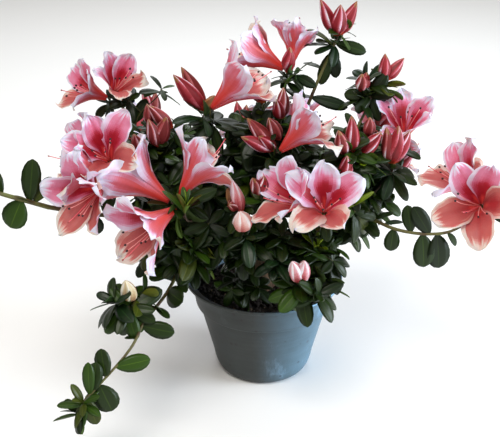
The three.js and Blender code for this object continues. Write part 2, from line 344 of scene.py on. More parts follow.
shoots = {
    "shoot_top": (1.5, 1.0, [
        ("crown_middle", 0.8, 0.45, 0.6), ("shoot_top", 0.1, 0.15, 0.05), ("shoot_top", 0.62, 0.5, 0.65),
        ("tuft_top", 0.54, 0.5, 0.42)]),
    "shoot_top_left": (1.3, 0.9, [
        ("crown_middle", 0.65, 0.5, 0.7), ("shoot_top_left", 0.4, 0.5, 0.2),
        ("truss_top", 0.64, 0.63, 0.25)]),
    "shoot_upper_right": (1.4, 0.9, [
        ("crown_right", 0.5, 0.5, 0.7), ("shoot_upper_right", 0.4, 0.3, 0.4),
        ("tuft_upper_right", 0.5, 0.45, 0.5)]),
    "shoot_top_middle": (1.4, 0.9, [
        ("crown_left", 0.7, 0.6, 0.7), ("shoot_top_middle", 0.3, 0.4, 0.5),
        ("truss_top_middle", 0.36, 0.6, 0.3)]),
    "shoot_upper_left": (1.3, 0.9, [
        ("crown_left", 0.4, 0.6, 0.75), ("shoot_upper_left", 0.45, 0.6, 0.6),
        ("truss_upper_left", 0.6, 0.65, 0.3)]),
    "shoot_left": (1.5, 1.7, [
        ("crown_left", 0.4, 0.35, 0.5), ("shoot_left", 0.6, 0.5, 0.25), ("shoot_left", 0.08, 0.05, 0.9)]),
    "shoot_left_end": (1.8, 1.0, [
        ("shoot_left", 0.08, 0.05, 0.9), ("shoot_left_end", 0.5, 0.5, 0.5),
        ("tuft_left_end", 0.5, 0.5, 0.4)]),
    "shoot_right": (1.4, 0.9, [
        ("crown_right", 0.65, 0.25, 0.4), ("shoot_right", 0.3, 0.3, 0.3),
        ("shoot_right", 0.72, 0.15, 0.25), ("truss_far_right", 0.72, 0.62, 0.25)]),
    "shoot_low_left": (1.4, 1.1, [
        ("crown_low_left", 0.6, 0.5, 0.4), ("shoot_low_left", 0.5, 0.5, 0.5),
        ("shoot_low_left_end", 0.95, 0.9, 0.98)]),
    "shoot_low_left_end": (1.1, 0.8, [
        ("shoot_low_left_end", 0.95, 0.9, 0.98), ("shoot_low_left_end", 0.65, 0.42, 0.6),
        ("tuft_low_left_tip", 0.5, 0.45, 0.6)]),
}


twigLook = {
    "jointGap": 5,  # mm along a twig
    "follow": 0.5,  # how much a twig first follows the shoot that it leaves
    "stray": 0.15,
    "tipEase": 0.35,
    "sides": 6,
    "least": 0.5, "gain": 0.42, "power": 0.42, "most": 2.0,  # radius in mm from the number of tips carried
    "oldFrom": 2.5,  # tips carried by a twig with bark
}


class Plant:
    # the limbs as a tree of joints, each with a place, a parent and the tips it carries
    def __init__(self):
        self.spots = []
        self.parents = []
        self.loads = []
        self.runs = []

    def joint(self, spot, parent):
        self.spots.append(np.asarray(spot, float))
        self.parents.append(parent)
        self.loads.append(0.0)
        return len(self.spots) - 1

    def limb(self, line):
        # adds a limb's own line, from the joint of another limb that is nearest to its foot
        parent = self.nearest(line[0], 0) if self.spots else None
        for spot in line:
            parent = self.joint(spot, parent)

    def nearest(self, spot, worth):
        # the joint to grow from: near the spot, and not too far out along the limbs
        spots = np.array(self.spots)
        gap = np.linalg.norm(spots - spot, axis=1)
        reach = np.linalg.norm(spots - spots[0], axis=1)
        return int(np.argmin(gap + worth * reach))

    def twig(self, tip, axis, dice, worth=0.3, bend=0.45):
        # grows a bent twig to the tip, where it points along the axis
        look = twigLook
        start = self.nearest(tip, worth)
        foot = self.spots[start]
        before = self.parents[start]
        way = unit(foot - self.spots[before]) if before is not None else skyward
        gap = tip - foot
        length = np.linalg.norm(gap)
        out = unit(unit(gap) + way * look["follow"] + dice.normal(0, look["stray"], 3))
        count = max(3, int(length / (look["jointGap"] * mm)) + 1)
        t = np.linspace(0, 1, count)[1:, None]
        first = foot + out * length * bend
        second = tip - axis * length * look["tipEase"]
        line = (1 - t) ** 3 * foot + 3 * (1 - t) ** 2 * t * first + 3 * (1 - t) * t**2 * second + t**3 * tip
        run = [start]
        for spot in line:
            run.append(self.joint(spot, run[-1]))
        self.loads[run[-1]] = 1.0
        self.runs.append(run)
        return run

    def weigh(self):
        # hands each tip's load down to the root
        for index in range(len(self.spots) - 1, 0, -1):
            parent = self.parents[index]
            if parent is not None:
                self.loads[parent] += self.loads[index]


plant = Plant()
limbLines = {}
for name, (foot, tip, stops) in {**limbs, **shoots}.items():
    line = curve([place(*stop) for stop in stops], 4 + 9 * len(stops))
    limbLines[name] = (line, np.linspace(foot, tip, len(line)) * mm)
    plant.limb(line)
print("limbs laid out:", len(limbLines))


# leaves: closed blades of a few faces, folded along the midrib

leafLook = {
    # sizes in mm
    "rows": 9,
    "crowd": 0.1,  # how much the rows close up at the ends
    "strips": [-1.0, -0.52, -0.045, 0.045, 0.52, 1.0],  # shares of the half width
    "thickness": 0.25,
    "widest": 1.24,  # above 1 the widest place moves towards the tip
    "round": 0.56,  # less is blunter
    "fold": 0.34,
    "foldEase": 0.75,  # how much the fold flattens towards the edge
    "archPower": 1.4,
    "stalk": 0.07,
}
greens = {
    # upper side, midrib, underside
    "deep": ((15, 30, 4), (30, 48, 9), (46, 62, 20)),
    "dark": ((25, 42, 6), (42, 62, 11), (60, 80, 24)),
    "mid": ((40, 65, 9), (60, 86, 18), (80, 102, 32)),
    "blue": ((18, 38, 16), (38, 64, 32), (64, 90, 50)),
    "olive": ((54, 64, 11), (78, 86, 20), (94, 102, 34)),
    "lime": ((96, 118, 10), (136, 146, 34), (120, 136, 36)),
    "scale": ((120, 84, 42), (150, 112, 60), (110, 78, 42)),
}
greenNames = list(greens)
leafSides = ("Upper", "Rib", "Under")
leafConstants = {"Roughness": 0.4, "Specular_IOR_Level": 0.26, "Coat_Weight": 0.04, "Coat_Roughness": 0.2}
underConstants = dict(leafConstants, Roughness=0.6, Specular_IOR_Level=0.16, Coat_Weight=0.0)
leafMaterials = []
for name, colours in greens.items():
    for side, colour in zip(leafSides, colours):
        constants = underConstants if side == "Under" else leafConstants
        finish = Finish(f"leaf{name.title()}{side}", Base_Color=tone(*colour), **constants)
        leafMaterials.append(finish.material)


class Leaves:
    # a list of leaves, worked out together as arrays
    def __init__(self):
        self.rows = []

    def add(self, base, way, face, length, width, arch, green, fold=1.0, twist=0.0):
        face = unit(face - way * np.dot(face, way))
        self.rows.append((*base, *way, *face, length, width, arch, fold, twist, greenNames.index(green)))

    def finish(self, name, replaced=()):
        look = leafLook
        table = np.array(self.rows)
        base, way, face = table[:, 0:3], table[:, 3:6], table[:, 6:9]
        length, width, arch, fold, twist = (table[:, k:k + 1] for k in range(9, 14))
        green = table[:, 14].astype(int)[:, None]
        side = np.cross(way, face)
        t = np.linspace(0, 1, look["rows"])
        t = t - look["crowd"] * np.sin(fullTurn * t)
        outline = np.maximum(1 - (2 * t ** look["widest"] - 1) ** 2, 0) ** look["round"]
        outline = np.maximum(outline, look["stalk"])
        turn = -arch * t ** look["archPower"]
        step = np.diff(t, prepend=0)
        along = np.cumsum(np.cos(turn) * step, axis=1) * length
        rise = np.cumsum(np.sin(turn) * step, axis=1) * length
        centre = base[:, None] + along[..., None] * way[:, None] + rise[..., None] * face[:, None]
        up = np.cos(turn)[..., None] * face[:, None] - np.sin(turn)[..., None] * way[:, None]
        spin = (twist * t)[..., None]
        flat = np.cos(spin) * side[:, None] + np.sin(spin) * up
        up = np.cos(spin) * up - np.sin(spin) * side[:, None]
        half = (width / 2 * outline)[..., None]
        v = np.array(look["strips"])
        lift = half * fold[..., None] * look["fold"] * (np.abs(v) - look["foldEase"] * v**2)
        sideways = (half * v)[..., None] * flat[:, :, None]
        upper = centre[:, :, None] + sideways + lift[..., None] * up[:, :, None]
        under = centre - up * look["thickness"] * mm
        points = np.concatenate([upper, under[:, :, None]], axis=2)
        per = len(v) + 1
        rib = (len(v) - 1) // 2
        faces, shades = [], []
        for row in range(look["rows"] - 1):
            here, there = row * per, (row + 1) * per
            for column in range(len(v) - 1):
                faces.append((here + column, here + column + 1, there + column + 1, there + column))
                shades.append(leafSides.index("Rib" if column == rib else "Upper"))
            faces.append((here, there, there + per - 1, here + per - 1))
            faces.append((here + per - 1, there + per - 1, there + per - 2, here + per - 2))
            shades += [leafSides.index("Under")] * 2
        each = look["rows"] * per
        allFaces = np.array(faces)[None] + np.arange(len(table))[:, None, None] * each
        allShades = np.array(shades)[None] + green * len(leafSides)
        pile = Pile()
        pile.add(points.reshape(-1, 3), allFaces.reshape(-1, 4), allShades.ravel())
        return pile.finish(name, leafMaterials, "foliage", replaced)


crownLeaves, backLeaves, tuftLeaves = Leaves(), Leaves(), Leaves()
whorlLook = {
    "turnStray": 0.15, "riseStray": 9,  # radians round the shoot, and degrees above it
    "youngest": 0.62,  # length as a share of the oldest leaf's
    "stem": 4,  # mm of the shoot that carries the whorl
    "lengths": (0.85, 1.12), "widths": (0.86, 1.14),
    "arches": (0.2, 0.75), "folds": (0.6, 1.4), "twist": 0.25,
}


def rosette(leaves, tip, axis, count, size, dice, dealt, spread=(58, -12), slim=0.47):
    # a whorl of leaves round a shoot's tip, the youngest nearest its axis
    look = whorlLook
    first, second = across(axis)
    start = dice.uniform(0, fullTurn)
    for index in range(count):
        share = index / max(count - 1, 1)
        angle = start + index * leafTurn + dice.normal(0, look["turnStray"])
        rise = math.radians(spread[0] + (spread[1] - spread[0]) * share + dice.normal(0, look["riseStray"]))
        radial = spoke(first, second, angle)
        way = math.cos(rise) * radial + math.sin(rise) * axis
        face = math.cos(rise) * axis - math.sin(rise) * radial
        grown = look["youngest"] + (1 - look["youngest"]) * math.sqrt(share)
        length = size * grown * dice.uniform(*look["lengths"])
        width = length * slim * dice.uniform(*look["widths"])
        green = dealt[dice.integers(len(dealt))]
        foot = tip - axis * share * look["stem"] * mm
        arch, fold = dice.uniform(*look["arches"]), dice.uniform(*look["folds"])
        twist = dice.normal(0, look["twist"])
        leaves.add(foot, way, face, length, width, arch, green, fold, twist)


def scaleRing(foot, axis, look):
    # small brown scales that clasp the foot of a bloom or bud
    first, second = across(axis)
    base = foot - axis * look["below"] * mm
    for k in range(look["count"]):
        radial = spoke(first, second, math.radians(360 / look["count"] * k + look["turn"]))
        way = unit(axis + radial * look["splay"])
        tuftLeaves.add(base, way, -radial, look["length"] * mm, look["width"] * mm, look["arch"], "scale")


crown = {
    # mass: number of shoots, leaf length in mm
    "crown_left": (30, 26), "crown_right": (30, 26), "crown_middle": (27, 26), "crown_front": (20, 21),
    "crown_low_left": (14, 25), "crown_back": (27, 26), "crown_back_left": (23, 26),
    "crown_back_right": (22, 26),
    "tuft_top": (1, 20), "tuft_upper_right": (3, 22), "tuft_left_buds": (4, 22), "tuft_middle": (4, 25),
    "tuft_right_middle": (4, 25), "tuft_low_left": (2, 24), "tuft_low_left_tip": (1, 20),
    "tuft_low_middle": (3, 26), "tuft_low_front": (2, 18), "tuft_left_end": (2, 22),
}
openTufts = ["tuft_left", "tuft_right"]  # these hold only the single leaves set below
crownLook = {
    "skin": (0.45, 0.8),  # where shoots end in a mass, as shares of its half size
    "core": (0.1, 0.5),  # the same in a mass of few shoots
    "few": 6,
    "gap": 1.35, "tries": 4000, "skinward": 0.6,
    # the lowest shoot of a mass, as a share of its half height
    "floors": {"crown_front": 0.05, "crown_left": -0.5, "crown_low_left": -0.2},
    "outward": 0.7, "upward": 0.75, "stray": 0.22,  # the way that a shoot points
    "whorl": (7, 11),
    # leaves along a twig
    "turn": 2.4, "lengths": (0.75, 1.05), "slims": (0.42, 0.56), "arches": (0.4, 1.1), "splay": 0.55,
}
sprays = [
    # greens dealt by spray, most sprays dark
    ["deep", "dark", "dark"], ["deep", "deep", "dark"], ["dark", "mid", "dark"], ["blue", "dark", "blue"],
    ["dark", "deep", "blue"], ["mid", "dark", "olive"], ["olive", "mid", "dark"], ["mid", "mid", "lime"],
]
sprayOdds = [0.22, 0.2, 0.18, 0.12, 0.12, 0.08, 0.05, 0.03]


def scatter(node, count, dice, low, high):
    # places inside a mass, spread apart, more of them near its skin
    look = crownLook
    lowest, highest = boxes[node]
    middle, half = (lowest + highest) / 2, (highest - lowest) / 2
    found = []
    tries = 0
    gap = look["gap"] / count ** (1 / 3)
    while len(found) < count and tries < look["tries"]:
        tries += 1
        way = unit(dice.normal(0, 1, 3))
        spot = way * (low + (high - low) * dice.uniform() ** look["skinward"])
        if spot[2] < look["floors"].get(node, -1):
            continue
        if all(np.linalg.norm(spot - other) > gap * (1 - tries / look["tries"]) for other in found):
            found.append(spot)
    return [(middle + half * spot, spot) for spot in found]


def twigLeaves(leaves, run, size, dice, green):
    # single leaves lower down a twig
    look = crownLook
    for k, joint in enumerate(run[2:-1]):
        here = plant.spots[joint]
        ahead = unit(plant.spots[run[k + 3]] - here)
        radial = spoke(*across(ahead), k * look["turn"] + dice.uniform(0, 1))
        way = unit(radial + ahead * look["splay"])
        face = unit(ahead - radial * look["splay"] + 0.5 * skyward)
        length = size * mm * dice.uniform(*look["lengths"])
        width = length * dice.uniform(*look["slims"])
        leaves.add(here, way, face, length, width, dice.uniform(*look["arches"]), green)


look = crownLook
for index, (node, (count, size)) in enumerate(crown.items()):
    dice = np.random.default_rng(seeds["crown"] + index)
    leaves = tuftLeaves if node.startswith("tuft") else backLeaves if "back" in node else crownLeaves
    mass = scatter(node, count, dice, *look["skin" if count > look["few"] else "core"])
    root = plant.spots[plant.nearest(boxes[node][0] * 0.5 + boxes[node][1] * 0.5, 0)]
    mass.sort(key=lambda found: np.linalg.norm(found[0] - root))
    for spot, way in mass:
        axis = unit(unit(way) * look["outward"] + look["upward"] * skyward + dice.normal(0, look["stray"], 3))
        run = plant.twig(spot, axis, dice)
        dealt = sprays[dice.choice(len(sprays), p=sprayOdds)]
        rosette(leaves, spot, axis, int(dice.integers(*look["whorl"])), size * mm, dice, dealt)
        twigLeaves(leaves, run, size, dice, dealt[0])
print("crown grown:", len(crownLeaves.rows) + len(backLeaves.rows) + len(tuftLeaves.rows), "leaves")


# single leaves along the open shoots

looseLeaves = {
    # shoot: share along it, bearing, climb, length and width in mm, arch, green, side the leaf faces
    "shoot_low_left": [
        (0.5, -60, 4, 20, 17, 0.3, "dark", "front"), (0.78, -25, -20, 13, 8, 0.3, "dark", "up"),
    ],
    "shoot_low_left_end": [
        (0.05, -11, -9, 24, 13, 0.4, "dark", "front"), (0.3, 150, 0, 10, 7, 0.4, "dark", "up"),
        (0.65, 8, 8, 25, 13, 0.3, "mid", "front"), (0.77, 140, 78, 21, 12, 0.3, "dark", "front"),
        (0.84, -30, -64, 22, 18, 0.2, "dark", "front"), (0.96, -30, -70, 22, 11, 0.3, "olive", "front"),
        (0.96, -120, -62, 24, 7, 0.2, "mid", "front"), (0.97, -160, -55, 15, 5, 0.2, "olive", "front"),
        (0.9, 60, 76, 21, 12, 0.3, "dark", "front"), (0.94, 100, 84, 24, 9, 0.3, "mid", "front"),
    ],
    "shoot_right": [
        (0.4, 152, 78, 21, 11, 0.3, "dark", "front"), (0.54, -167, 58, 26, 13, 0.3, "deep", "front"),
        (0.27, -113, -75, 18, 12, 0.3, "dark", "front"), (0.48, -56, -78, 27, 17, 0.2, "dark", "front"),
        (0.6, -30, -80, 29, 18, 0.2, "deep", "front"), (0.2, 18, 8, 16, 8, 0.3, "blue", "up"),
        (0.12, 30, 14, 18, 8, 0.3, "dark", "up"), (0.66, -34, -38, 12, 9, 0.4, "dark", "up"),
    ],
    "shoot_left": [
        (0.45, 60, 70, 22, 12, 0.3, "dark", "front"), (0.6, -30, -60, 16, 12, 0.3, "deep", "front"),
    ],
    "shoot_left_end": [
        (0.16, 50, 79, 30, 14, 0.2, "dark", "front"), (0.14, 20, 52, 22, 9, 0.4, "olive", "front"),
        (0.12, -146, 40, 16, 8, 0.3, "dark", "up"), (0.22, -149, -60, 22, 19, 0.2, "mid", "front"),
        (0.4, 147, 60, 18, 10, 0.4, "dark", "front"), (0.55, -70, 20, 18, 9, 0.4, "mid", "up"),
    ],
    "shoot_top": [
        (0.56, -14, -11, 29, 10, 0.3, "blue", "front"), (0.9, -130, -62, 25, 10, 0.3, "dark", "front"),
        (0.92, -51, -72, 22, 10, 0.3, "deep", "front"), (0.97, -11, -12, 25, 10, 0.4, "dark", "front"),
        (0.98, 24, 8, 20, 8, 0.9, "blue", "up"), (0.96, 173, 46, 23, 13, 0.5, "olive", "up"),
        (0.95, -172, 14, 24, 9, 0.4, "dark", "up"), (0.94, -140, 2, 19, 10, 0.4, "blue", "up"),
        (0.95, 100, 10, 22, 10, 0.5, "dark", "up"), (0.76, 150, 20, 17, 8, 0.4, "dark", "up"),
    ],
    "shoot_upper_left": [
        (0.45, -60, 30, 18, 8, 0.5, "dark", "up"), (0.7, 20, 25, 20, 9, 0.5, "dark", "up"),
        (0.58, 10, 60, 22, 10, 0.5, "dark", "front"),
    ],
    "shoot_top_middle": [
        (0.5, 170, 30, 20, 9, 0.5, "dark", "up"),
    ],
    "shoot_top_left": [
        (0.5, -160, 10, 24, 10, 0.5, "dark", "up"), (0.65, 10, 20, 24, 10, 0.6, "deep", "up"),
        (0.8, -60, 10, 22, 10, 0.6, "dark", "up"),
    ],
    "shoot_upper_right": [
        (0.4, -170, 20, 22, 10, 0.5, "dark", "up"), (0.6, -20, 10, 23, 10, 0.5, "dark", "up"),
    ],
}
faceWays = {"up": skyward, "front": heading(-90, 22)}
for shoot, rows in looseLeaves.items():
    line = limbLines[shoot][0]
    for share, bearing, climb, length, width, arch, green, side in rows:
        foot = line[round(share * (len(line) - 1))]
        face = faceWays[side] + 0.15 * heading(bearing, 0)
        tuftLeaves.add(foot, heading(bearing, climb), face, length * mm, width * mm, arch, green, 0.8)

whorls = [
    # node, shares, bearing, climb, leaves, length in mm, spread, slimness, greens
    ("truss_top_middle", (0.48, 0.5, 0.3), -80, 66, 9, 30, (14, -24), 0.42, ["dark", "deep", "dark"]),
    ("crown_right", (0.58, -0.04, 0.56), -52, 34, 9, 28, (24, -24), 0.48, ["mid", "dark", "olive"]),
    ("crown_right", (0.55, -0.07, 0.66), -60, 66, 5, 19, (74, 46), 0.24, ["lime", "mid"]),
    ("crown_right", (0.95, 0.27, 0.84), -76, 58, 10, 26, (10, -34), 0.46, ["dark", "blue", "deep"]),
    ("tuft_low_middle", (0.38, 0.4, 0.5), -84, 46, 11, 29, (16, -26), 0.48, ["mid", "dark", "blue", "mid"]),
    ("tuft_low_middle", (0.8, 0.7, 0.85), -50, 40, 8, 24, (24, -20), 0.48, ["dark", "mid", "deep"]),
    ("truss_left_middle", (0.63, 0.37, 0.53), -86, 82, 8, 21, (84, 50), 0.26, ["lime", "olive", "mid"]),
    ("crown_left", (0.78, 0.06, 0.5), -92, 44, 10, 25, (14, -30), 0.46, ["dark", "deep", "dark"]),
    ("crown_left", (0.9, 0.06, 0.32), -88, 52, 9, 24, (20, -34), 0.48, ["dark", "deep", "blue"]),
    ("crown_front", (0.73, 0.22, 0.72), -80, 80, 9, 17, (70, 20), 0.26, ["lime", "mid", "lime"]),
    ("tuft_low_front", (0.28, 0.2, 0.45), -92, 40, 7, 18, (16, -30), 0.56, ["dark", "mid"]),
    ("crown_front", (0.33, 0.62, -0.06), -84, 60, 7, 17, (20, -20), 0.56, ["dark", "deep"]),
    ("tuft_low_left", (0.5, 0.24, 0.4), -100, 44, 13, 27, (20, -36), 0.44, ["mid", "olive", "mid", "dark"]),
    ("tuft_low_left_tip", (0.5, 0.4, 0.62), -100, 70, 9, 18, (66, -10), 0.42, ["mid", "olive", "mid"]),
    ("truss_upper_left", (1.18, 0.6, 0.4), -10, 70, 7, 18, (38, -24), 0.42, ["dark", "mid", "deep"]),
    ("truss_upper_left", (0.79, 0.51, 0.25), -70, 50, 6, 19, (34, -20), 0.44, ["dark", "deep", "mid"]),
]
for index, (node, shares, bearing, climb, count, size, spread, slim, dealt) in enumerate(whorls):
    dice = np.random.default_rng(seeds["whorls"] + index)
    tip = place(node, *shares)
    axis = heading(bearing, climb)
    plant.twig(tip, axis, dice)
    rosette(tuftLeaves, tip, axis, count, size * mm, dice, dealt, spread, slim)
print("leaves set by hand:", sum(map(len, looseLeaves.values())), "and", len(whorls), "whorls")


# blooms: five ruffled lobes on a narrow tube, each a closed sheet with its own colours inside and out

bloomLook = {
    # sizes in mm, angles in degrees
    "rows": 36, "rowCrowd": 1.25,  # rows close up towards the tip
    "columns": 23, "columnCrowd": 0.96,  # columns close up towards the edges
    "usual": 49,  # petal length in mm that the sizes here belong to
    "tubeShare": 0.3,  # of a petal's length
    "tubeLean": 19,  # degrees from the bloom's axis
    "flareFrom": 0.6, "flareTo": 0.8,  # where the tube opens, as shares of the tube and of the petal
    "recurvePower": 2.2,
    "footRadius": 1.6,
    "overlap": 1.2,  # of one petal's foot on the next
    "turns": (0, 60, 142, 218, 300),  # where each petal stands round the axis
    "lobeHalf": 12.2, "lobeSpread": (0.93, 1.08),  # half width of a lobe
    "tipFrom": 0.44, "tipPowers": (2.1, 2.9), "tipEases": (0.5, 0.7),  # how a lobe narrows to its tip
    "edgeWave": 0.09,  # of the width
    "cup": 27,  # radius of a lobe's cross curve
    "ruffle": 3.4, "ruffles": (0.6, 1.5), "tipRuffle": 0.55,
    "crease": 0.8, "creaseWidth": 0.16,
    "veins": 0.35, "veinTurns": 9.4,
    "tuck": 0.25, "lobeTuck": 1.45,  # how far one edge lies over the next lobe, all along and on the lobe
    "thickness": 0.32, "gap": 0.03,
    # how the petals of a bloom differ
    "turnStray": 3, "leanStray": 8, "recurves": (-4, 26), "reaches": (0.94, 1.05),
    "droop": 34, "droopRecurve": 40,  # a drooping petal's lean past the others, and its recurve
    "levels": 26, "rimLevel": 1,
    "blotches": (0.46, 0.36, 0.0, 0.0, 0.36),  # strength on each petal
    # the warm ramp gives the lower petals a peach hue and painted shade, its tones darker than the cool ones
    "warmPetals": (2, 3), "warmOdds": 0.12, "warmBelow": 0.9,  # none on a bloom that faces straight up
    "margins": (0.8, 1.25), "backMargin": 1.15,
}
petalTones = {
    # margin first, throat last
    "cool": [
        (204, 200, 216), (206, 168, 196), (200, 126, 156), (190, 88, 118),
        (160, 32, 56), (138, 2, 26), (177, 51, 49),
    ],
    # the lower petals' ramp: a peach hue, and darker than the cool ramp as painted shade
    "warm": [
        (204, 192, 186), (192, 136, 130), (174, 94, 89), (164, 76, 76),
        (150, 54, 56), (144, 34, 40), (170, 50, 46),
    ],
    "outer": [
        (204, 200, 216), (202, 164, 188), (192, 112, 132), (186, 82, 92),
        (180, 62, 60), (174, 44, 40), (160, 32, 20),
    ],
}
petalNames = list(petalTones)
petalConstants = {
    "Roughness": 0.5, "Specular_IOR_Level": 0.35, "Subsurface_Weight": 0.18, "Subsurface_Scale": 0.002,
    "Sheen_Weight": 0.05,
}
petalMaterials = []
# the petal ramps carry a painted glow of 0.1, strongest at the throat
for name, stops in petalTones.items():
    petalMaterials += ramp("petal" + name.title(), stops, bloomLook["levels"], petalConstants, 0.1)


def bell(value, width):
    # 1 at 0, fading away on both sides
    return np.exp(-((value / width) ** 2))


def petalSheet(dice, length, lean, recurve, ruffle):
    # a petal as rings of (along the axis, out from it, sideways) in metres, with each point's shares
    look = bloomLook
    size = length / (look["usual"] * mm)
    u = 1 - (1 - np.linspace(0, 1, look["rows"])) ** look["rowCrowd"]
    quarter = math.pi / 2 * look["columnCrowd"]
    v = np.sin(np.linspace(-1, 1, look["columns"]) * quarter) / math.sin(quarter)
    u, v = np.meshgrid(u, v, indexing="ij")
    tube = look["tubeShare"]
    t = np.clip((u - tube) / (1 - tube), 0, 1)
    flare = smoothStep(tube * look["flareFrom"], look["flareTo"], u)
    curl = recurve * t ** look["recurvePower"]
    angle = np.radians(look["tubeLean"] + (lean - look["tubeLean"]) * flare + curl)
    step = np.diff(u, axis=0, prepend=0)
    out = look["footRadius"] * mm + np.cumsum(np.sin(angle) * step, axis=0) * length
    up = np.cumsum(np.cos(angle) * step, axis=0) * length
    tubeHalf = out * math.pi / len(look["turns"]) * look["overlap"]
    lobe = look["lobeHalf"] * mm * size * dice.uniform(*look["lobeSpread"])
    opened = smoothStep(0, 0.5, t)
    half = tubeHalf + (lobe - tubeHalf) * opened
    narrowing = np.clip((t - look["tipFrom"]) / (1 - look["tipFrom"]), 0, 1)
    end = np.maximum(1 - narrowing ** dice.uniform(*look["tipPowers"]), 0.0004)  # never quite a point
    half = half * end ** dice.uniform(*look["tipEases"])
    half = half * (1 + look["edgeWave"] * wobble(t * 10 + np.sign(v) * 2, dice) * t)
    radius = 1 / (1 / out + (1 / (look["cup"] * mm) - 1 / out) * smoothStep(0, 0.4, t))
    sideways = radius * np.sin(v * half / radius)
    inward = radius * (1 - np.cos(v * half / radius))
    edge = np.abs(v)
    wave = wobble(t * dice.uniform(7, 11) + np.sign(v) * dice.uniform(0, 3), dice) * edge**2 * t**1.4
    tip = wobble(v * dice.uniform(2.4, 4), dice) * t**3
    inward = inward + ruffle * mm * size * (wave + look["tipRuffle"] * tip)
    crease = look["crease"] * mm * size * bell(v, look["creaseWidth"])
    inward = inward - crease * smoothStep(0, 0.3, t) * (1 - t**4)
    inward = inward + look["veins"] * mm * size * np.sin(edge * look["veinTurns"]) * t * (1 - t) * 2
    inward = inward + v * (look["tuck"] + look["lobeTuck"] * opened) * mm * size
    return u, v, t, angle, out, up, sideways, inward


heatLook = {
    # shades of a petal, from 0 on the pale margin to 1 in the throat
    "innerFrom": 0.2, "innerTo": 0.85,  # where the margin fades, in margin widths
    "plain": 0.4, "underBlotch": 0.34, "midline": 0.1,
    "throatFrom": 0.7, "throat": 0.4,
    "blotchAt": 0.5, "blotchLength": 0.17, "blotchWidth": 0.56, "mottle": 0.16, "freckle": 0.1,
    "most": 0.84, "core": 0.16,  # the most away from the throat, and what the throat adds
    "back": 0.34, "backStripe": 0.16, "backFoot": 0.7,
}


def petalHeat(u, v, dice, blotched, margin, outside):
    look = heatLook
    near = np.minimum(1 - np.abs(v), (1 - u) * 2.1)  # how far in from the edge or the tip
    side = dice.uniform(-0.15, 0.15) * np.sign(v)
    width = margin * (1 + 0.4 * wobble(u * 6 + np.sign(v) * 2, dice) + side)
    streak = 0.1 * wobble(v * 19 + u * 2, dice, 5)
    inner = smoothStep(look["innerFrom"], look["innerTo"], (near + streak) / np.maximum(width, 0.1))
    if outside:
        stripe = look["backStripe"] * bell(v, 0.3) + 0.05 * wobble(v * 11, dice)
        foot = np.clip((0.72 - u) / 0.62, 0, 1) ** 1.25
        rim = 1 - 0.65 * (1 - inner) * smoothStep(0.3, 0.5, u)
        return inner * (look["back"] + stripe) + foot * rim * (look["backFoot"] - 0.2 * inner)
    heat = inner * (look["underBlotch" if blotched else "plain"] + look["midline"] * bell(v, 0.3))
    heat = heat + np.clip((look["throatFrom"] - u) / 0.5, 0, 1) ** 1.2 * look["throat"]
    blotch = bell(u - look["blotchAt"], look["blotchLength"]) * bell(v, look["blotchWidth"])
    freckles = np.sin(u * 163) * np.sin(v * 47 + u * 31) > 0.5
    mottle = look["mottle"] * wobble(u * 14 + v * 23, dice, 5)
    heat = heat + blotched * blotch * (1 + mottle + look["freckle"] * freckles)
    return np.minimum(heat, look["most"]) + look["core"] * smoothStep(0.42, 0.24, u)


def rimLoop(rows, columns):
    # the grid's outer points in order
    first = np.arange(columns)
    right = np.arange(1, rows) * columns + columns - 1
    last = (rows - 1) * columns + np.arange(columns - 2, -1, -1)
    left = np.arange(rows - 2, 0, -1) * columns
    return np.concatenate([first, right, last, left])[::-1]


threadLook = {
    "stamens": 5, "fan": 34, "fanStray": 6,  # degrees between stamens
    "rings": 8, "sides": 6, "radii": (0.42, 0.3), "rise": 0.09,  # mm, and the upturn as a share of the length
    "reaches": (0.66, 0.86), "slopes": (0.2, 0.42),
    "pistilReach": 0.98, "pistilSlope": 0.3, "pistilKnob": 0.75,
    "knob": (0.2, 0.7, 0.85, 0.8, 0.55, 0.1), "knobSpan": (-0.6, 1.5),  # radii, and reach from the end
}


def threadSet(threads, foot, axis, top, side, dice, length, roll):
    # the stamens and the pistil of one bloom, each a thread with a knob at its end
    look = threadLook
    for index in range(look["stamens"] + 1):
        pistil = index == look["stamens"]
        fan = 0 if pistil else (index - 2) * look["fan"] + dice.normal(0, look["fanStray"])
        radial = spoke(top, side, math.radians(roll + 180 + fan))
        reach = length * (look["pistilReach"] if pistil else dice.uniform(*look["reaches"]))
        slope = look["pistilSlope"] if pistil else dice.uniform(*look["slopes"])
        t = np.linspace(0, 1, look["rings"])[:, None]
        line = foot + axis * reach * t + radial * reach * slope * t**1.5 + top * reach * look["rise"] * t**4
        points, faces = tube(line, np.linspace(*look["radii"], look["rings"]) * mm, look["sides"])
        threads.add(points, faces, 1 if pistil else 0)
        knob = look["pistilKnob"] if pistil else 1.0
        span = np.linspace(*look["knobSpan"], len(look["knob"]))[:, None]
        ends = line[-1] + unit(line[-1] - line[-2]) * span * mm * knob
        points, faces = tube(ends, np.array(look["knob"]) * mm * knob, look["sides"])
        threads.add(points, faces, 3 if pistil else 2)


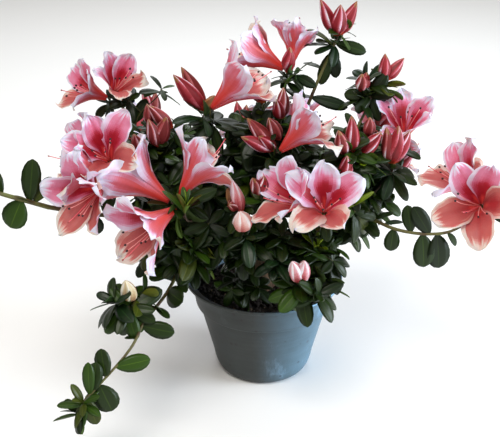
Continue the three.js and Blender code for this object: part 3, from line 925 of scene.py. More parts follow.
def bloom(petals, threads, foot, axis, dice, length, lean, roll, margin, droop):
    # adds one bloom to the petal pile, with its stamens and pistil in the other
    look = bloomLook
    levels = look["levels"]
    length = length * mm
    top, side = across(axis)
    for index, (around, blotched) in enumerate(zip(look["turns"], look["blotches"])):
        radial = spoke(top, side, math.radians(roll + around + dice.normal(0, look["turnStray"])))
        tangent = np.cross(axis, radial)
        own = lean + dice.normal(0, look["leanStray"])
        recurve = dice.uniform(*look["recurves"])
        if index == droop:
            own, recurve = lean + look["droop"], look["droopRecurve"]
        reach = length * dice.uniform(*look["reaches"])
        ruffle = look["ruffle"] * dice.uniform(*look["ruffles"])
        u, v, t, angle, out, up, sideways, inward = petalSheet(dice, reach, own, recurve, ruffle)
        sheet = foot + up[..., None] * axis + out[..., None] * radial + sideways[..., None] * tangent
        square = -np.cos(angle)[..., None] * radial + np.sin(angle)[..., None] * axis
        inner = sheet + inward[..., None] * square
        thick = look["thickness"] * mm * (1 - np.abs(v) ** 6) * (1 - t**8)
        outer = inner - (thick + look["gap"] * mm)[..., None] * square
        rows, columns = u.shape
        grid = gridFaces(rows, columns)
        under = grid[:, ::-1] + rows * columns
        loop = rimLoop(rows, columns)
        after = np.roll(loop, -1)
        rim = np.stack([loop, after, after + rows * columns, loop + rows * columns], -1)
        middleU = u[:-1, :-1] / 2 + u[1:, 1:] / 2
        middleV = (v[:-1, :-1] + v[1:, 1:]) / 2
        # lower petals of a bloom that doesn't face straight up take the warm ramp: a peach hue with painted
        # shade
        warm = index in look["warmPetals"] or (index and dice.uniform() < look["warmOdds"])
        tint = "warm" if warm and axis[2] < look["warmBelow"] else "cool"
        inside = petalHeat(middleU, middleV, dice, blotched, margin * dice.uniform(*look["margins"]), False)
        outside = petalHeat(middleU, middleV, dice, blotched, margin * look["backMargin"], True)
        inside = nearestShade(inside, levels) + petalNames.index(tint) * levels
        outside = nearestShade(outside, levels) + petalNames.index("outer") * levels
        points = np.concatenate([inner.reshape(-1, 3), outer.reshape(-1, 3)])
        shades = np.concatenate([inside.ravel(), outside.ravel(), np.full(len(rim), look["rimLevel"])])
        petals.add(points, np.concatenate([grid, under, rim]), shades)
    threadSet(threads, foot, axis, top, side, dice, length, roll)


blooms = [
    # truss, mouth's shares, bearing, climb, petal length, lean, roll, pale margin's width, drooping petal
    ("truss_upper_left", (0.21, 0.46, 0.49), -154, 30, 37, 50, 14, 0.46, None),
    ("truss_upper_left", (0.71, 0.53, 0.62), -50, 54, 35, 46, 10, 0.5, None),
    ("truss_left", (0.65, 0.23, 0.93), -96, 44, 44, 48, 28, 0.4, None),
    ("truss_left", (0.18, 0.82, 0.54), -172, 26, 48, 54, 0, 0.34, None),
    ("truss_left", (0.34, 0.23, 0.7), -164, 20, 45, 44, 20, 0.56, None),
    ("truss_left", (0.44, 0, 0.51), -118, 2, 46, 52, 10, 0.46, None),
    ("truss_left_middle", (0.16, 0.75, 0.74), 162, 31, 56, 44, 56, 0.74, None),
    ("truss_left_middle", (0.27, 0.13, 0.38), -138, -16, 52, 46, 0, 0.56, None),
    ("truss_left_middle", (0.8, 0.71, 0.87), 16, 53, 50, 40, 36, 0.62, 2),
    ("truss_top_middle", (0.85, 0.5, 0.78), 10, 42, 50, 42, 0, 0.56, None),
    ("truss_top", (0.15, 0.49, 0.62), 166, 27, 45, 34, 0, 0.6, None),
    ("truss_top", (0.75, 0.59, 0.83), 60, 70, 35, 36, 18, 0.56, None),
    ("truss_middle", (0.57, 0.52, 0.73), 4, 44, 46, 40, 0, 0.56, None),
    ("truss_front", (0.66, -0.03, 0.72), -97, 44, 47, 52, -2, 0.72, None),
    ("truss_front", (0.23, 0.26, 0.64), -150, 36, 44, 48, 20, 0.42, None),
    ("truss_right", (0.56, 0.65, 0.78), -95, 68, 43, 44, 6, 0.64, None),
    ("truss_far_right", (0.35, -0.1, 0.72), -114, 28, 47, 55, -18, 0.4, None),
    ("truss_far_right", (0.26, 0.82, 0.72), -172, 44, 48, 46, 0, 0.5, None),
    ("truss_back_left", (0.3, 0.75, 0.16), 130, 24, 46, 60, 0, 0.5, None),
    ("truss_back_left", (0.18, 0.4, 0.26), 170, 24, 49, 52, 20, 0.46, None),
    ("truss_back", (0.35, 0.7, 0.14), 104, 20, 51, 62, 0, 0.5, None),
    ("truss_back", (0.68, 0.6, 0.36), 62, 44, 49, 48, 10, 0.6, None),
    ("truss_back_top", (0.5, 0.7, 0.34), 100, 54, 47, 52, 0, 0.46, None),
    ("truss_back_right", (0.46, 0.75, 0.3), 66, 26, 50, 58, 0, 0.5, None),
    ("truss_back_right", (0.62, 0.4, 0.14), 12, 20, 46, 50, 24, 0.58, None),
]
calyxLook = {
    "mouth": 0.68,  # from a bloom's foot to its mouth, as a share of its petals
    "twigBelow": 1.5, "twigWorth": 0.2, "twigBend": 0.3,
    "whorlBelow": 7, "leaves": 7, "leafLength": 0.44, "spread": (40, -26), "slim": 0.43,
}
sepals = {"count": 5, "turn": 30, "splay": 0.35, "below": 1.0, "length": 5, "width": 2.4, "arch": -0.3}
leftOf = -0.02  # trusses whose middle lies left of this x go in the left piece
petalPiles = {"petalsLeft": Pile(), "petalsRight": Pile(), "petalsBack": Pile()}
trussPile = {}
threads = Pile()
look = calyxLook
for index, (truss, shares, bearing, climb, length, lean, roll, margin, droop) in enumerate(blooms):
    dice = np.random.default_rng(seeds["blooms"] + index)
    middle = (boxes[truss][0] + boxes[truss][1]) / 2
    pile = "petalsBack" if "back" in truss else "petalsLeft" if middle[0] < leftOf else "petalsRight"
    trussPile[truss] = pile
    axis = heading(bearing, climb)
    foot = place(truss, *shares) - axis * length * look["mouth"] * mm
    bloom(petalPiles[pile], threads, foot, axis, dice, length, lean, roll, margin, droop)
    plant.twig(foot - axis * look["twigBelow"] * mm, axis, dice, look["twigWorth"], look["twigBend"])
    dealt = sprays[dice.choice(len(sprays) - 1)]
    shoot = foot - axis * look["whorlBelow"] * mm
    leafLength = look["leafLength"] * length * mm
    rosette(tuftLeaves, shoot, axis, look["leaves"], leafLength, dice, dealt, look["spread"], look["slim"])
    scaleRing(foot, axis, sepals)
for name, pile in petalPiles.items():
    pile.finish(name, petalMaterials, "blossom", [truss for truss, used in trussPile.items() if used == name])
threadMaterials = [
    plain("filament", (232, 150, 150), 0.45), plain("pistilStem", (224, 92, 104), 0.4),
    plain("anther", (44, 16, 22), 0.7), plain("stigma", (150, 50, 50), 0.3),
]
threads.finish("stamens", threadMaterials, "blossom")
print("blooms made:", len(blooms))


# buds: furled petals, turned a little round the axis, with pale edges

budLook = {
    "rings": 24, "ringCrowd": 0.9, "sides": 40,
    "plump": 1.15,  # on every width below
    "turn": 1.0, "turns": (0.6, 1.4), "petals": 5,
    "ridge": 0.13, "foot": 0.34, "bend": 0.05,
    "levels": 10, "base": 0.14, "edge": 0.78, "paling": 0.45,  # paleness all over, at edges and at open tips
    "tipShare": 0.16, "footShare": 0.14, "tanLevels": 6,
    "twigFoot": 1.5, "budFoot": 2,  # mm along the bud from its place
    "twigWorth": 0.2, "twigBend": 0.3,
    "whorlBelow": 3, "leaves": 6, "leafLength": 20, "spread": (42, -22),
}
budScales = {"count": 4, "turn": 40, "splay": 0.5, "below": 1.2, "length": 5.5, "width": 3, "arch": -0.5}
budTones = {
    # darkest rose first, pale edge last, then the olive tip and the orange foot
    "rose": [(110, 12, 22), (136, 26, 36), (160, 48, 58), (188, 96, 110), (214, 170, 188), (232, 224, 232)],
    "dusky": [(92, 22, 22), (120, 36, 37), (148, 58, 60), (182, 108, 112), (210, 168, 180), (228, 218, 224)],
    "pale": [
        (164, 74, 72), (186, 104, 98), (204, 144, 136), (214, 178, 174), (222, 206, 204), (228, 222, 224),
    ],
    "tan": [(112, 70, 40), (128, 84, 48), (146, 100, 60), (160, 116, 76), (176, 134, 92), (190, 150, 110)],
    "blush": [
        (140, 34, 44), (168, 66, 74), (194, 108, 114), (212, 156, 164), (224, 204, 212), (232, 226, 232),
    ],
    "cream": [
        (128, 84, 60), (156, 114, 82), (184, 152, 112), (202, 186, 150), (214, 206, 184), (224, 220, 208),
    ],
    "foot": [(206, 84, 44), (196, 66, 40), (184, 52, 40), (172, 42, 42), (160, 36, 44), (148, 30, 46)],
}
budNames = list(budTones)
openTints = ("pale", "blush", "cream")  # buds about to open, whiter towards the tip
budConstants = dict(petalConstants, Sheen_Weight=0.0, Subsurface_Weight=0.08)
budMaterials = []
for name, stops in budTones.items():
    budMaterials += ramp("bud" + name.title(), stops, budLook["levels"], budConstants)
buds = Pile()


def budShades(t, around, wrap, tint, dice):
    # the rose or pale petals with their light edges, a tan tip and an orange foot
    look = budLook
    levels = look["levels"]
    firstShade = {name: index * levels for index, name in enumerate(budNames)}
    edge = smoothStep(0.35, 0.92, wrap) * (0.7 + 0.4 * wobble(t * 4 + around, dice))
    heat = np.clip(look["base"] + look["base"] * wobble(around * 3 + t, dice) + edge * look["edge"], 0, 1)
    if tint in openTints:
        heat = np.clip(heat + look["paling"] * smoothStep(0.2, 0.8, t), 0, 1)
    shade = nearestShade(heat, levels)
    tan = firstShade["tan"] + np.minimum(shade, look["tanLevels"])
    atTip = t > 1 - look["tipShare"] * (0.8 + 0.4 * wobble(around * 2, dice))
    browned = atTip & (edge < 0.5) & (tint != "tan" and tint not in openTints)
    shade = np.where(browned, tan, shade + firstShade[tint])
    low = t < look["footShare"] + 0.05 * wobble(around * 3, dice)
    orange = np.clip(np.round(t / 0.2 * 8), 0, levels - 1).astype(int)
    return np.where(low, firstShade["foot"] + orange, shade)


def bud(foot, axis, length, width, tint, dice):
    # a spindle whose ridges are the edges of the furled petals
    look = budLook
    length = length * mm
    width = width * look["plump"] * mm
    t = np.linspace(0, 1, look["rings"]) ** look["ringCrowd"]
    t, around = np.meshgrid(t, ringAngles(look["sides"]), indexing="ij")
    body = np.sin(math.pi * np.clip(0.09 + 0.9 * t**0.86, 0, 1)) ** 0.85
    body = np.maximum(body, 0.03) * (1 - look["foot"] * (1 - smoothStep(0, 0.3, t)) * 0.6)
    wrap = (around * look["petals"] / fullTurn) % 1
    turned = around + look["turn"] * t * dice.uniform(*look["turns"]) + dice.uniform(0, fullTurn)
    ridge = 1 + look["ridge"] * (wrap**1.6 - 0.35) * smoothStep(0.04, 0.3, t)
    radius = width / 2 * body * ridge
    first, second = across(axis)
    bend = look["bend"] * length * dice.normal() * t**2
    line = foot + t[..., None] * length * axis + bend[..., None] * first
    points = line + (radius * np.cos(turned))[..., None] * first
    points = points + (radius * np.sin(turned))[..., None] * second
    faces = gridFaces(look["rings"], look["sides"], wrap=True)
    cap = capFaces((look["rings"] - 1) * look["sides"], look["sides"])
    shades = budShades(t[:-1], around[:-1], wrap[:-1], tint, dice).ravel()
    capShades = np.full(len(cap), budNames.index("tan") * look["levels"])
    buds.add(points, np.concatenate([faces, cap]), np.concatenate([shades, capShades]))
    scaleRing(foot, axis, budScales)


budPlaces = [
    # node, foot's shares, then each bud's bearing, climb, length, width and tint
    ("tuft_top", (0.55, 0.45, 0.47), [
        (-163, 62, 31, 9, "rose"), (-87, 68, 27, 10, "rose"), (0, 58, 28, 9, "rose"),
    ]),
    ("truss_top", (0.63, 0.3, 0.28), [(-78, 70, 22, 9, "rose")]),
    ("tuft_upper_right", (0.6, 0.43, 0.61), [(-110, 79, 21, 8, "rose"), (16, 52, 21, 8, "rose")]),
    ("tuft_upper_right", (0.23, 0.32, 0.45), [(-106, 74, 15, 9, "dusky"), (48, 72, 14, 8, "rose")]),
    ("truss_top_middle", (0.42, 0.63, 0.38), [
        (-156, 50, 38, 11, "rose"), (176, 61, 36, 10, "dusky"), (-27, 64, 13, 8, "tan"),
    ]),
    ("tuft_left_buds", (1.0, 0.43, 0.8), [(-153, 46, 27, 9, "dusky")]),
    ("tuft_left_buds", (0.49, 0.55, 0.8), [(-123, 82, 17, 7, "dusky")]),
    ("tuft_left_buds", (0.71, 0.25, 0.48), [(-127, 61, 26, 9, "dusky"), (-49, 77, 26, 10, "dusky")]),
    ("tuft_left_buds", (0.35, 0.13, 0.32), [(-121, 65, 22, 9, "dusky")]),
    ("tuft_middle", (0.79, 0.6, 0.7), [(-60, 78, 24, 9, "dusky"), (-110, 58, 22, 8, "rose")]),
    ("tuft_middle", (0.77, 0.26, 0.35), [(-123, 57, 26, 9, "dusky")]),
    ("tuft_middle", (0.7, 0.13, 0.19), [
        (-150, 48, 36, 10, "dusky"), (-144, 28, 34, 9, "rose"), (-130, 42, 24, 8, "rose"),
    ]),
    ("tuft_right_middle", (0.57, 0.45, 0.57), [(-144, 82, 31, 9, "rose")]),
    ("tuft_right_middle", (0.45, 0.42, 0.59), [(-126, 62, 25, 9, "dusky")]),
    ("tuft_right_middle", (0.66, 0.5, 0.55), [(-18, 54, 24, 9, "rose")]),
    ("tuft_right_middle", (0.8, 0.8, 0.8), [(-96, 80, 16, 8, "dusky")]),
    ("truss_right", (0.3, 0.14, 0.24), [
        (-150, 74, 30, 10, "dusky"), (-60, 78, 31, 11, "rose"), (0, 66, 28, 10, "rose"),
    ]),
    ("tuft_right_middle", (0.43, 0.22, 0.2), [(-89, 72, 22, 9, "rose")]),
    ("crown_front", (0.34, 0.32, 1.36), [(-130, 60, 17, 8, "dusky"), (-63, 72, 16, 8, "rose")]),
    ("crown_front", (0.22, 0.21, 1.16), [(-124, 66, 31, 8, "blush")]),
    ("crown_front", (0.24, 0.02, 1), [(-120, 66, 19, 12, "pale")]),
    ("crown_front", (0.2, 0.28, 1.25), [(-144, 56, 17, 9, "tan"), (-116, 24, 16, 8, "dusky")]),
    ("tuft_low_left", (0.54, 0.55, 0.35), [(-98, 62, 27, 10, "cream")]),
    ("tuft_low_middle", (0.38, 0.45, 0.56), [(-120, 60, 27, 10, "blush"), (-84, 64, 25, 10, "blush")]),
    ("crown_back", (0.3, 0.95, 0.7), [(110, 55, 26, 9, "rose"), (70, 62, 22, 9, "dusky")]),
    ("crown_back_left", (0.3, 0.8, 0.95), [(140, 62, 26, 9, "rose"), (90, 68, 22, 8, "dusky")]),
    ("crown_back_right", (0.75, 0.4, 0.98), [(10, 60, 25, 9, "rose"), (60, 70, 21, 8, "dusky")]),
    ("crown_right", (1.0, 0.65, 0.6), [(20, 45, 26, 9, "rose")]),
    ("crown_middle", (0.5, 0.85, 0.98), [(95, 70, 24, 9, "rose"), (140, 55, 20, 8, "dusky")]),
]
look = budLook
for index, (node, shares, group) in enumerate(budPlaces):
    dice = np.random.default_rng(seeds["buds"] + index)
    foot = place(node, *shares)
    for bearing, climb, length, width, tint in group:
        axis = heading(bearing, climb)
        bud(foot + axis * look["budFoot"] * mm, axis, length, width, tint, dice)
        tip = foot + axis * look["twigFoot"] * mm
        plant.twig(tip, axis, dice, look["twigWorth"], look["twigBend"])
    dealt = sprays[dice.choice(len(sprays), p=sprayOdds)]
    shoot = foot - look["whorlBelow"] * mm * skyward
    axis = unit(axis + 0.6 * skyward)
    rosette(tuftLeaves, shoot, axis, look["leaves"], look["leafLength"] * mm, dice, dealt, look["spread"])
buds.finish("buds", budMaterials, "blossom")
print("buds made")

backMasses = [node for node in crown if "back" in node]
frontMasses = [node for node in crown if node.startswith("crown") and node not in backMasses]
crownLeaves.finish("leavesCrown", frontMasses)
backLeaves.finish("leavesBack", backMasses)
tuftLeaves.finish("leavesOuter", openTufts + [node for node in crown if node.startswith("tuft")])


# twigs and barked limbs

plant.weigh()
twigs = Pile()
look = twigLook
for run in plant.runs:
    loads = np.array([plant.loads[joint] for joint in run])
    loads[0] = loads[1]
    radii = np.minimum(look["least"] + look["gain"] * (loads ** look["power"] - 1), look["most"])
    line = np.array([plant.spots[joint] for joint in run])
    points, faces = tube(line, radii * mm, look["sides"])
    twigs.add(points, faces, int(loads[1:].max() >= look["oldFrom"]))
twigMaterials = [plain("twigYoung", (70, 70, 32), 0.55), plain("twigOld", (62, 46, 34), 0.7)]
twigs.finish("twigs", twigMaterials, "bark")

barkLook = {
    "sides": 26, "shootSides": 12, "ringsPerMm": 1.2,
    "relief": 0.34, "furrow": 0.8, "knot": 1.6, "flare": 3.4, "flareFade": 7,
    "across": 2.4, "along": 0.11, "furrowScale": 1.6, "knotScale": 0.7,  # the grain of the relief
    "crackTone": (56, 38, 28), "ridgeTone": (120, 92, 70), "lichenTone": (104, 98, 74),
    "shootBrown": (70, 50, 30), "shootGreen": (98, 102, 48),
}


def barked(name):
    # a limb's skin with furrows along it, knots and, on the trunk, a flare at the soil
    look = barkLook
    line, radii = limbLines[name]
    length = np.linalg.norm(np.diff(line, axis=0), axis=1).sum() / mm
    count = max(16, int(length * look["ringsPerMm"]))
    fine = curve(line, count)
    radii = np.interp(np.linspace(0, 1, count), np.linspace(0, 1, len(radii)), radii)
    shift = len(name) * 7.3  # so that limbs differ
    sides = look["shootSides"] if name in shoots else look["sides"]
    relief = np.zeros((count, sides))
    strength = look["relief"] * mm * np.clip(radii / (4 * mm), 0.25, 1.6)
    for ring in range(count):
        along = ring / look["ringsPerMm"] * look["along"]
        for side, angle in enumerate(ringAngles(sides)):
            x, y = math.cos(angle) * look["across"] + shift, math.sin(angle) * look["across"]
            where = Vector((x, y, along))
            furrow = noise.noise(where * look["furrowScale"])
            knot = noise.noise(where * look["knotScale"] + Vector((9, 0, 0)))
            relief[ring, side] = (furrow * look["furrow"] + max(knot, 0) * look["knot"]) * strength[ring]
    if name == "trunk":
        rise = np.linspace(0, 1, count)
        lobes = 1 + 0.35 * np.cos(ringAngles(sides) * 4)
        relief += (look["flare"] * mm * np.exp(-rise * look["flareFade"]))[:, None] * lobes
    return tube(fine, radii, sides, relief)


def barkFinish():
    look = barkLook
    bark = Finish("barkFurrowed", Roughness=0.82, Specular_IOR_Level=0.3)
    furrow = bark.cloud(240, 5, 0.62, (1, 1, 0.28))
    patch = bark.cloud(60, 3)
    base = bark.mix(furrow.clipped(0.38, 0.62), tone(*look["crackTone"]), tone(*look["ridgeTone"]))
    bark.feed("Base Color", bark.mix(patch.clipped(0.5, 0.72), base, tone(*look["lichenTone"])))
    bark.feed("Roughness", 0.7 + furrow * 0.25)
    bark.bump(furrow, 0.5, 0.0006)
    return bark.material


def shootFinish():
    look = barkLook
    skin = Finish("shootSkin", Roughness=0.5, Specular_IOR_Level=0.4)
    patch = skin.cloud(90, 4)
    colour = skin.mix(patch.clipped(0.35, 0.65), tone(*look["shootBrown"]), tone(*look["shootGreen"]))
    skin.feed("Base Color", colour)
    skin.feed("Roughness", 0.42 + patch * 0.3)
    return skin.material


for label, lines, skin in (("limbs", limbs, barkFinish()), ("shoots", shoots, shootFinish())):
    pile = Pile()
    for name in lines:
        pile.add(*barked(name), 0)
    pile.finish(label, [skin], "bark", list(lines))
print("limbs and twigs made:", len(plant.runs), "twigs")


# the pot: one turned shell with drain holes

potLook = {
    # mm. Each radius is at the outside
    "sides": 144, "lipHeight": 2.4, "collarHeight": 21.2, "collarStep": 2.6, "collarTaper": 3.6,
    "heel": 17, "wall": 1.7, "floor": 2.2, "footShare": 0.5, "heelShare": 0.648, "shoulderShare": 0.822,
    "footRings": (0.0, 0.4, 0.8), "heelRings": 12, "heelPull": 2.5,
    "wallRings": (0.3, 0.6, 0.85, 0.97),
    # rounded edges, as steps out and up from a corner
    "shoulderEdge": ((0, -0.35), (0.25, 0)),
    "collarEdge": ((-0.5, 0.5), (0, 1.0), (0.3, 1.8)),
    "underLip": ((0, -0.5), (0.3, -0.1)),
    "lipEdge": ((-0.5, 0.1), (-0.1, 0.5)),
    "rimEdge": ((0, -0.9), (-0.2, -0.25), (-0.6, 0), (-1.1, 0), (-1.6, -0.5), (-1.9, -1.4)),
    "drainRadius": 3.4, "drainRing": 21, "drains": 5, "drainTurn": 0.3,
    "drillSides": 32, "drillSpan": (-3, 6),
    "softAngle": 34, "insideFrom": 1.5,  # the painted shade inside starts at this many drain rings out
    "tones": {
        "dark": (34, 38, 36), "light": (45, 50, 48), "tide": (64, 72, 74), "mottle": (62, 67, 66),
        # stain: a dark tone painted on the inside wall for the shadow in the pot
        "scuff": (96, 100, 100), "speck": (30, 26, 24), "stain": (34, 30, 28),
    },
}


def potProfile():
    # the turned outline, up the outside from the middle of the foot and down the inside
    look = potLook
    low, high = boxes["pot"]
    rim = (high[0] - low[0]) / 2 / mm
    height = (high[2] - low[2]) / mm
    lipFoot = height - look["lipHeight"]
    collarFoot = height - look["lipHeight"] - look["collarHeight"]
    shoulder = rim * look["shoulderShare"]
    heelOut = rim * look["heelShare"]
    foot = rim * look["footShare"]
    heel, wall, floor = look["heel"], look["wall"], look["floor"]
    collar = shoulder + look["collarStep"]
    under = collar + look["collarTaper"]
    inner = under - wall

    def rounded(edge, out, up):
        return [(out + stepOut, up + stepUp) for stepOut, stepUp in look[edge]]

    points = [(foot * share, 0) for share in look["footRings"]]
    for t in np.linspace(0, 1, look["heelRings"]):
        out = (1 - t) ** 2 * foot + 2 * (1 - t) * t * (heelOut - look["heelPull"]) + t**2 * heelOut
        points.append((out, t**2 * heel))
    for share in look["wallRings"]:
        points.append((heelOut + (shoulder - heelOut) * share, heel + (collarFoot - heel) * share))
    points += rounded("shoulderEdge", shoulder, collarFoot) + rounded("collarEdge", collar, collarFoot)
    points += [(collar + look["collarTaper"] * 0.5, (collarFoot + lipFoot) / 2)]
    points += rounded("underLip", under, lipFoot) + rounded("lipEdge", rim, lipFoot)
    points += rounded("rimEdge", rim, height)
    points += [(inner, height - 3.4), (inner - look["collarTaper"], collarFoot + 1.5)]
    points += [(shoulder - wall, collarFoot - 1), (heelOut - wall, heel), (heelOut - 4.5, floor + 4)]
    points += [(foot, floor), (foot * 0.6, floor), (0, floor)]
    return np.array(points) * mm


def potMesh():
    sides = potLook["sides"]
    profile = potProfile()[1:-1]
    turns = ringAngles(sides)
    rings = [np.stack([np.cos(turns) * r, np.sin(turns) * r, np.full(len(turns), z)], 1) for r, z in profile]
    faces = [tuple(face) for face in gridFaces(len(profile), sides, wrap=True)[:, ::-1]]
    last = (len(profile) - 1) * sides
    faces.append(tuple(range(sides)))
    faces.append(tuple(range(last + sides - 1, last - 1, -1)))
    mesh = bpy.data.meshes.new("pot")
    mesh.from_pydata(np.concatenate(rings).tolist(), [], faces)
    return mesh


def drilled(piece):
    # cuts the drain holes with a joined mesh of round drills
    look = potLook
    sides = look["drillSides"]
    points, faces = [], []
    for drain in range(look["drains"]):
        around = fullTurn * drain / look["drains"] + look["drainTurn"]
        middle = (math.cos(around) * look["drainRing"], math.sin(around) * look["drainRing"])
        line = np.array([(*middle, z) for z in look["drillSpan"]]) * mm
        ring, quads = tube(line, look["drainRadius"] * mm, sides)
        start = len(points)
        points += ring.tolist()
        faces += [tuple(start + i for i in face) for face in quads]
        faces.append(tuple(range(start + sides - 1, start - 1, -1)))
    drills = added("drills", bpy.data.meshes.new("drills"))
    drills.data.from_pydata(points, [], faces)
    cut = piece.modifiers.new("drains", "BOOLEAN")
    cut.operation = "DIFFERENCE"
    cut.object = drills
    cut.solver = "EXACT"
    whole = bpy.data.meshes.new_from_object(piece.evaluated_get(bpy.context.evaluated_depsgraph_get()))
    piece.modifiers.clear()
    piece.data = whole
    bpy.data.objects.remove(drills)


def potFinish(name, stain):
    # stain is the share of painted shade on the wall, dark as the shadow inside the pot
    tones = {mark: tone(*colour) for mark, colour in potLook["tones"].items()}
    pot = Finish(name, Roughness=0.55, Specular_IOR_Level=0.42)
    broad = pot.cloud(14, 4)
    fine = pot.cloud(900, 3)
    scuff = pot.cloud(70, 6, 0.68, (1, 1, 0.45)).clipped(0.57, 0.72)
    tide = pot.cloud(60, 3, 0.5, (0.05, 0.05, 5)).clipped(0.45, 0.7)
    grey = pot.mix(broad.clipped(0.35, 0.68), tones["dark"], tones["light"])
    grey = pot.mix(tide * 0.2, grey, tones["tide"])
    mottle = pot.cloud(42, 5, 0.7)
    grey = pot.mix(mottle.clipped(0.35, 0.7) * 0.3, grey, tones["mottle"])
    grey = pot.mix(scuff * 0.4, grey, tones["scuff"])
    speck = 1 - pot.grains(95).clipped(0.09, 0.17)
    grey = pot.mix(speck * pot.cloud(25).clipped(0.42, 0.5), grey, tones["speck"])
    # painted shade over the inside wall
    grey = pot.mix(stain, grey, tones["stain"])
    pot.feed("Base Color", grey)
    pot.feed("Roughness", 0.46 + scuff * 0.2 + broad * 0.16)
    pot.bump(fine * 0.5 + scuff, 0.25, 0.0004)
    return pot.material


potShell = settle(potMesh(), "pot_shell", ["pot"])
drilled(potShell)
potShell.data.materials.clear()
potShell.data.materials.append(potFinish("potMatte", 0.0))
# the inside wall past the drains gets painted shade
potShell.data.materials.append(potFinish("potInside", 0.95))
for face in potShell.data.polygons:
    out = Vector(face.center[:2]).length
    inward = face.normal.x * face.center.x + face.normal.y * face.center.y < -0.2 * out
    if inward and out > potLook["drainRing"] * potLook["insideFrom"] * mm:
        face.material_index = 1
potShell.data.polygons.foreach_set("use_smooth", np.ones(len(potShell.data.polygons), bool))
potShell.data.set_sharp_from_angle(angle=math.radians(potLook["softAngle"]))
print("pot turned")


# the soil: a lumpy bed, with loose crumbs on it

soilLook = {
    "rings": 70, "sides": 150, "below": 1.2, "past": 1.9,  # mm under and past the root ball's box
    "lump": 1.5, "lumpScale": 0.09, "swell": 1.6, "swellScale": 0.03, "edgeFall": 2.2, "edgeFrom": 0.82,
    "hidden": ((0.985, 0.72, 0.5, 0.01), (17, 1, 1)),  # rings under the bed, and how far over the ball's foot
    "crumbs": 900, "crumb": (0.5, 1.7), "crumbLift": 0.9, "crumbSides": 6, "paleCrumbs": 0.12,
    "crumbSpan": (-1.0, -0.55, 0.35, 1.0), "crumbRadii": (0.35, 0.95, 0.8, 0.25),
    "stretches": (0.7, 1.6), "girths": (0.8, 1.2),
}


def edgeFall(radius, reach):
    # how far the bed drops near the pot's wall, in mm
    return soilLook["edgeFall"] * smoothStep(soilLook["edgeFrom"], 1, radius / reach)


def soilBed():
    look = soilLook
    low, high = boxes["root_ball"]
    top = high[2] - look["below"] * mm
    reach = (high[0] - low[0]) / 2 + look["past"] * mm
    shares, lifts = look["hidden"]
    radii = np.concatenate([np.linspace(0.5 * mm, reach, look["rings"]), np.array(shares) * reach])
    depths = [top - 5 * mm] + [low[2] + lift * mm for lift in lifts]
    points = []
    for index, radius in enumerate(radii):
        for around in ringAngles(look["sides"]):
            x, y = radius * math.cos(around), radius * math.sin(around)
            spot = Vector((x, y, 0)) / mm
            if index < look["rings"]:
                rise = noise.fractal(spot * look["lumpScale"], 0.8, 2.1, 5) * look["lump"]
                rise += noise.noise(spot * look["swellScale"]) * look["swell"]
                points.append((x, y, top + (rise - edgeFall(radius, reach)) * mm))
            else:
                points.append((x, y, depths[index - look["rings"]]))
    faces = gridFaces(len(radii), look["sides"], wrap=True)
    ends = [capFaces(0, look["sides"]), capFaces((len(radii) - 1) * look["sides"], look["sides"])[:, ::-1]]
    pile = Pile()
    pile.add(points, np.concatenate([faces, *ends]), 0)
    return pile, top, reach


def soilFinish(name, dark, light):
    soil = Finish(name, Roughness=0.95, Specular_IOR_Level=0.2)
    lump = soil.cloud(260, 6, 0.7)
    soil.feed("Base Color", soil.mix(lump.clipped(0.4, 0.68), tone(*dark), tone(*light)))
    soil.feed("Roughness", 0.82 + lump * 0.18)
    soil.bump(lump, 0.8, 0.0012)
    return soil.material


bed, soilTop, soilReach = soilBed()
bed.finish("soil", [soilFinish("peatDark", (20, 16, 13), (54, 44, 36))], "soil", ["root_ball"])
dice = np.random.default_rng(seeds["crumbs"])
crumbs = Pile()
look = soilLook
crumbSpan, crumbRadii = np.array(look["crumbSpan"])[:, None], np.array(look["crumbRadii"])
crumbEnd = capFaces(0, look["crumbSides"])[:, ::-1]
for k in range(look["crumbs"]):
    radius = soilReach * 0.97 * math.sqrt(dice.uniform(0.01, 1))
    around = dice.uniform(0, fullTurn)
    size = dice.uniform(*look["crumb"]) * mm
    axis = unit(dice.normal(0, 1, 3))
    level = soilTop + look["crumbLift"] * mm - edgeFall(radius, soilReach) * mm
    centre = np.array([radius * math.cos(around), radius * math.sin(around), level])
    line = centre + axis * crumbSpan * size * dice.uniform(*look["stretches"])
    points, faces = tube(line, crumbRadii * size * dice.uniform(*look["girths"]), look["crumbSides"])
    crumbs.add(points, np.concatenate([faces, crumbEnd]), int(dice.uniform() < look["paleCrumbs"]))
crumbMaterials = [plain("crumbDark", (38, 30, 25), 0.95), plain("crumbPale", (92, 76, 58), 0.9)]
crumbs.finish("soilCrumbs", crumbMaterials, "soil")
print("soil laid")


# floor, light and camera

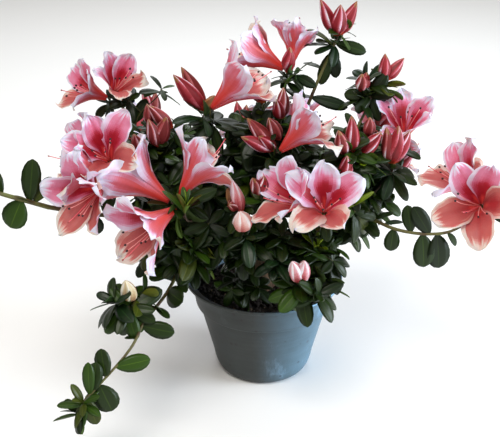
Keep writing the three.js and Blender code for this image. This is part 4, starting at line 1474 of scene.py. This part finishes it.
studio = {
    "floor": 14.0, "below": 0.0002,  # half width in metres, and how far under the foot
    "floorTones": ((236, 236, 236), (240, 240, 240)),
    "sky": (1.0, 0.97, 0.91), "skyStrength": 0.43,
    "aim": (0, 0, 0.15),
    "lamps": {
        # place, width in metres, watts, colour
        "key": ((-0.25, -0.75, 1.5), 0.8, 17.8, (1.0, 0.96, 0.9)),
        "fill": ((1.2, -0.3, 0.45), 0.6, 19, (0.8, 0.9, 1.0)),
        "low": ((0.62, -0.1, 0.09), 0.24, 43, (0.32, 0.63, 1.0)),
        "back": ((0.1, 0.95, 1.1), 0.8, 9.5, (0.92, 0.96, 1.0)),
    },
    "potLamp": "low",  # this one lights only the pot
    "camera": (-0.011, -0.700, 0.464), "down": 25.3, "lens": 70.2, "sensor": 36,
}
half = studio["floor"]
level = cadBox[0][2] - studio["below"]
corners = [(x * half, y * half, level) for x, y in ((-1, -1), (1, -1), (1, 1), (-1, 1))]
floorMesh = bpy.data.meshes.new("floor")
floorMesh.from_pydata(corners, [], [(0, 1, 2, 3)])
floorFinish = Finish("floorPale", Roughness=0.8, Specular_IOR_Level=0.2)
darker, lighter = (tone(*colour) for colour in studio["floorTones"])
floorFinish.feed("Base Color", floorFinish.mix(floorFinish.cloud(3), darker, lighter))
floorMesh.materials.append(floorFinish.material)
added("floor", floorMesh)

world = bpy.data.worlds.new("studio")
world.use_nodes = True
sky = world.node_tree.nodes["Background"]
sky.inputs["Color"].default_value = (*studio["sky"], 1)
sky.inputs["Strength"].default_value = studio["skyStrength"]
bpy.context.scene.world = world
for name, (spot, width, watts, colour) in studio["lamps"].items():
    lamp = bpy.data.lights.new(name, "AREA")
    lamp.size = width
    lamp.energy = watts
    lamp.color = colour
    holder = added(name, lamp)
    holder.location = spot
    holder.rotation_euler = (Vector(studio["aim"]) - Vector(spot)).to_track_quat("-Z", "Y").to_euler()
    if name == studio["potLamp"]:
        holder.light_linking.receiver_collection = bpy.data.collections.new("lowLit")
        holder.light_linking.receiver_collection.objects.link(potShell)
camera = bpy.data.cameras.new("camera")
camera.lens = studio["lens"]
camera.sensor_width = studio["sensor"]
viewer = added("camera", camera)
viewer.location = studio["camera"]
viewer.rotation_euler = (math.radians(90 - studio["down"]), 0, 0)
bpy.context.scene.camera = viewer
bpy.context.scene.view_settings.view_transform = "Standard"
print("scene lit")
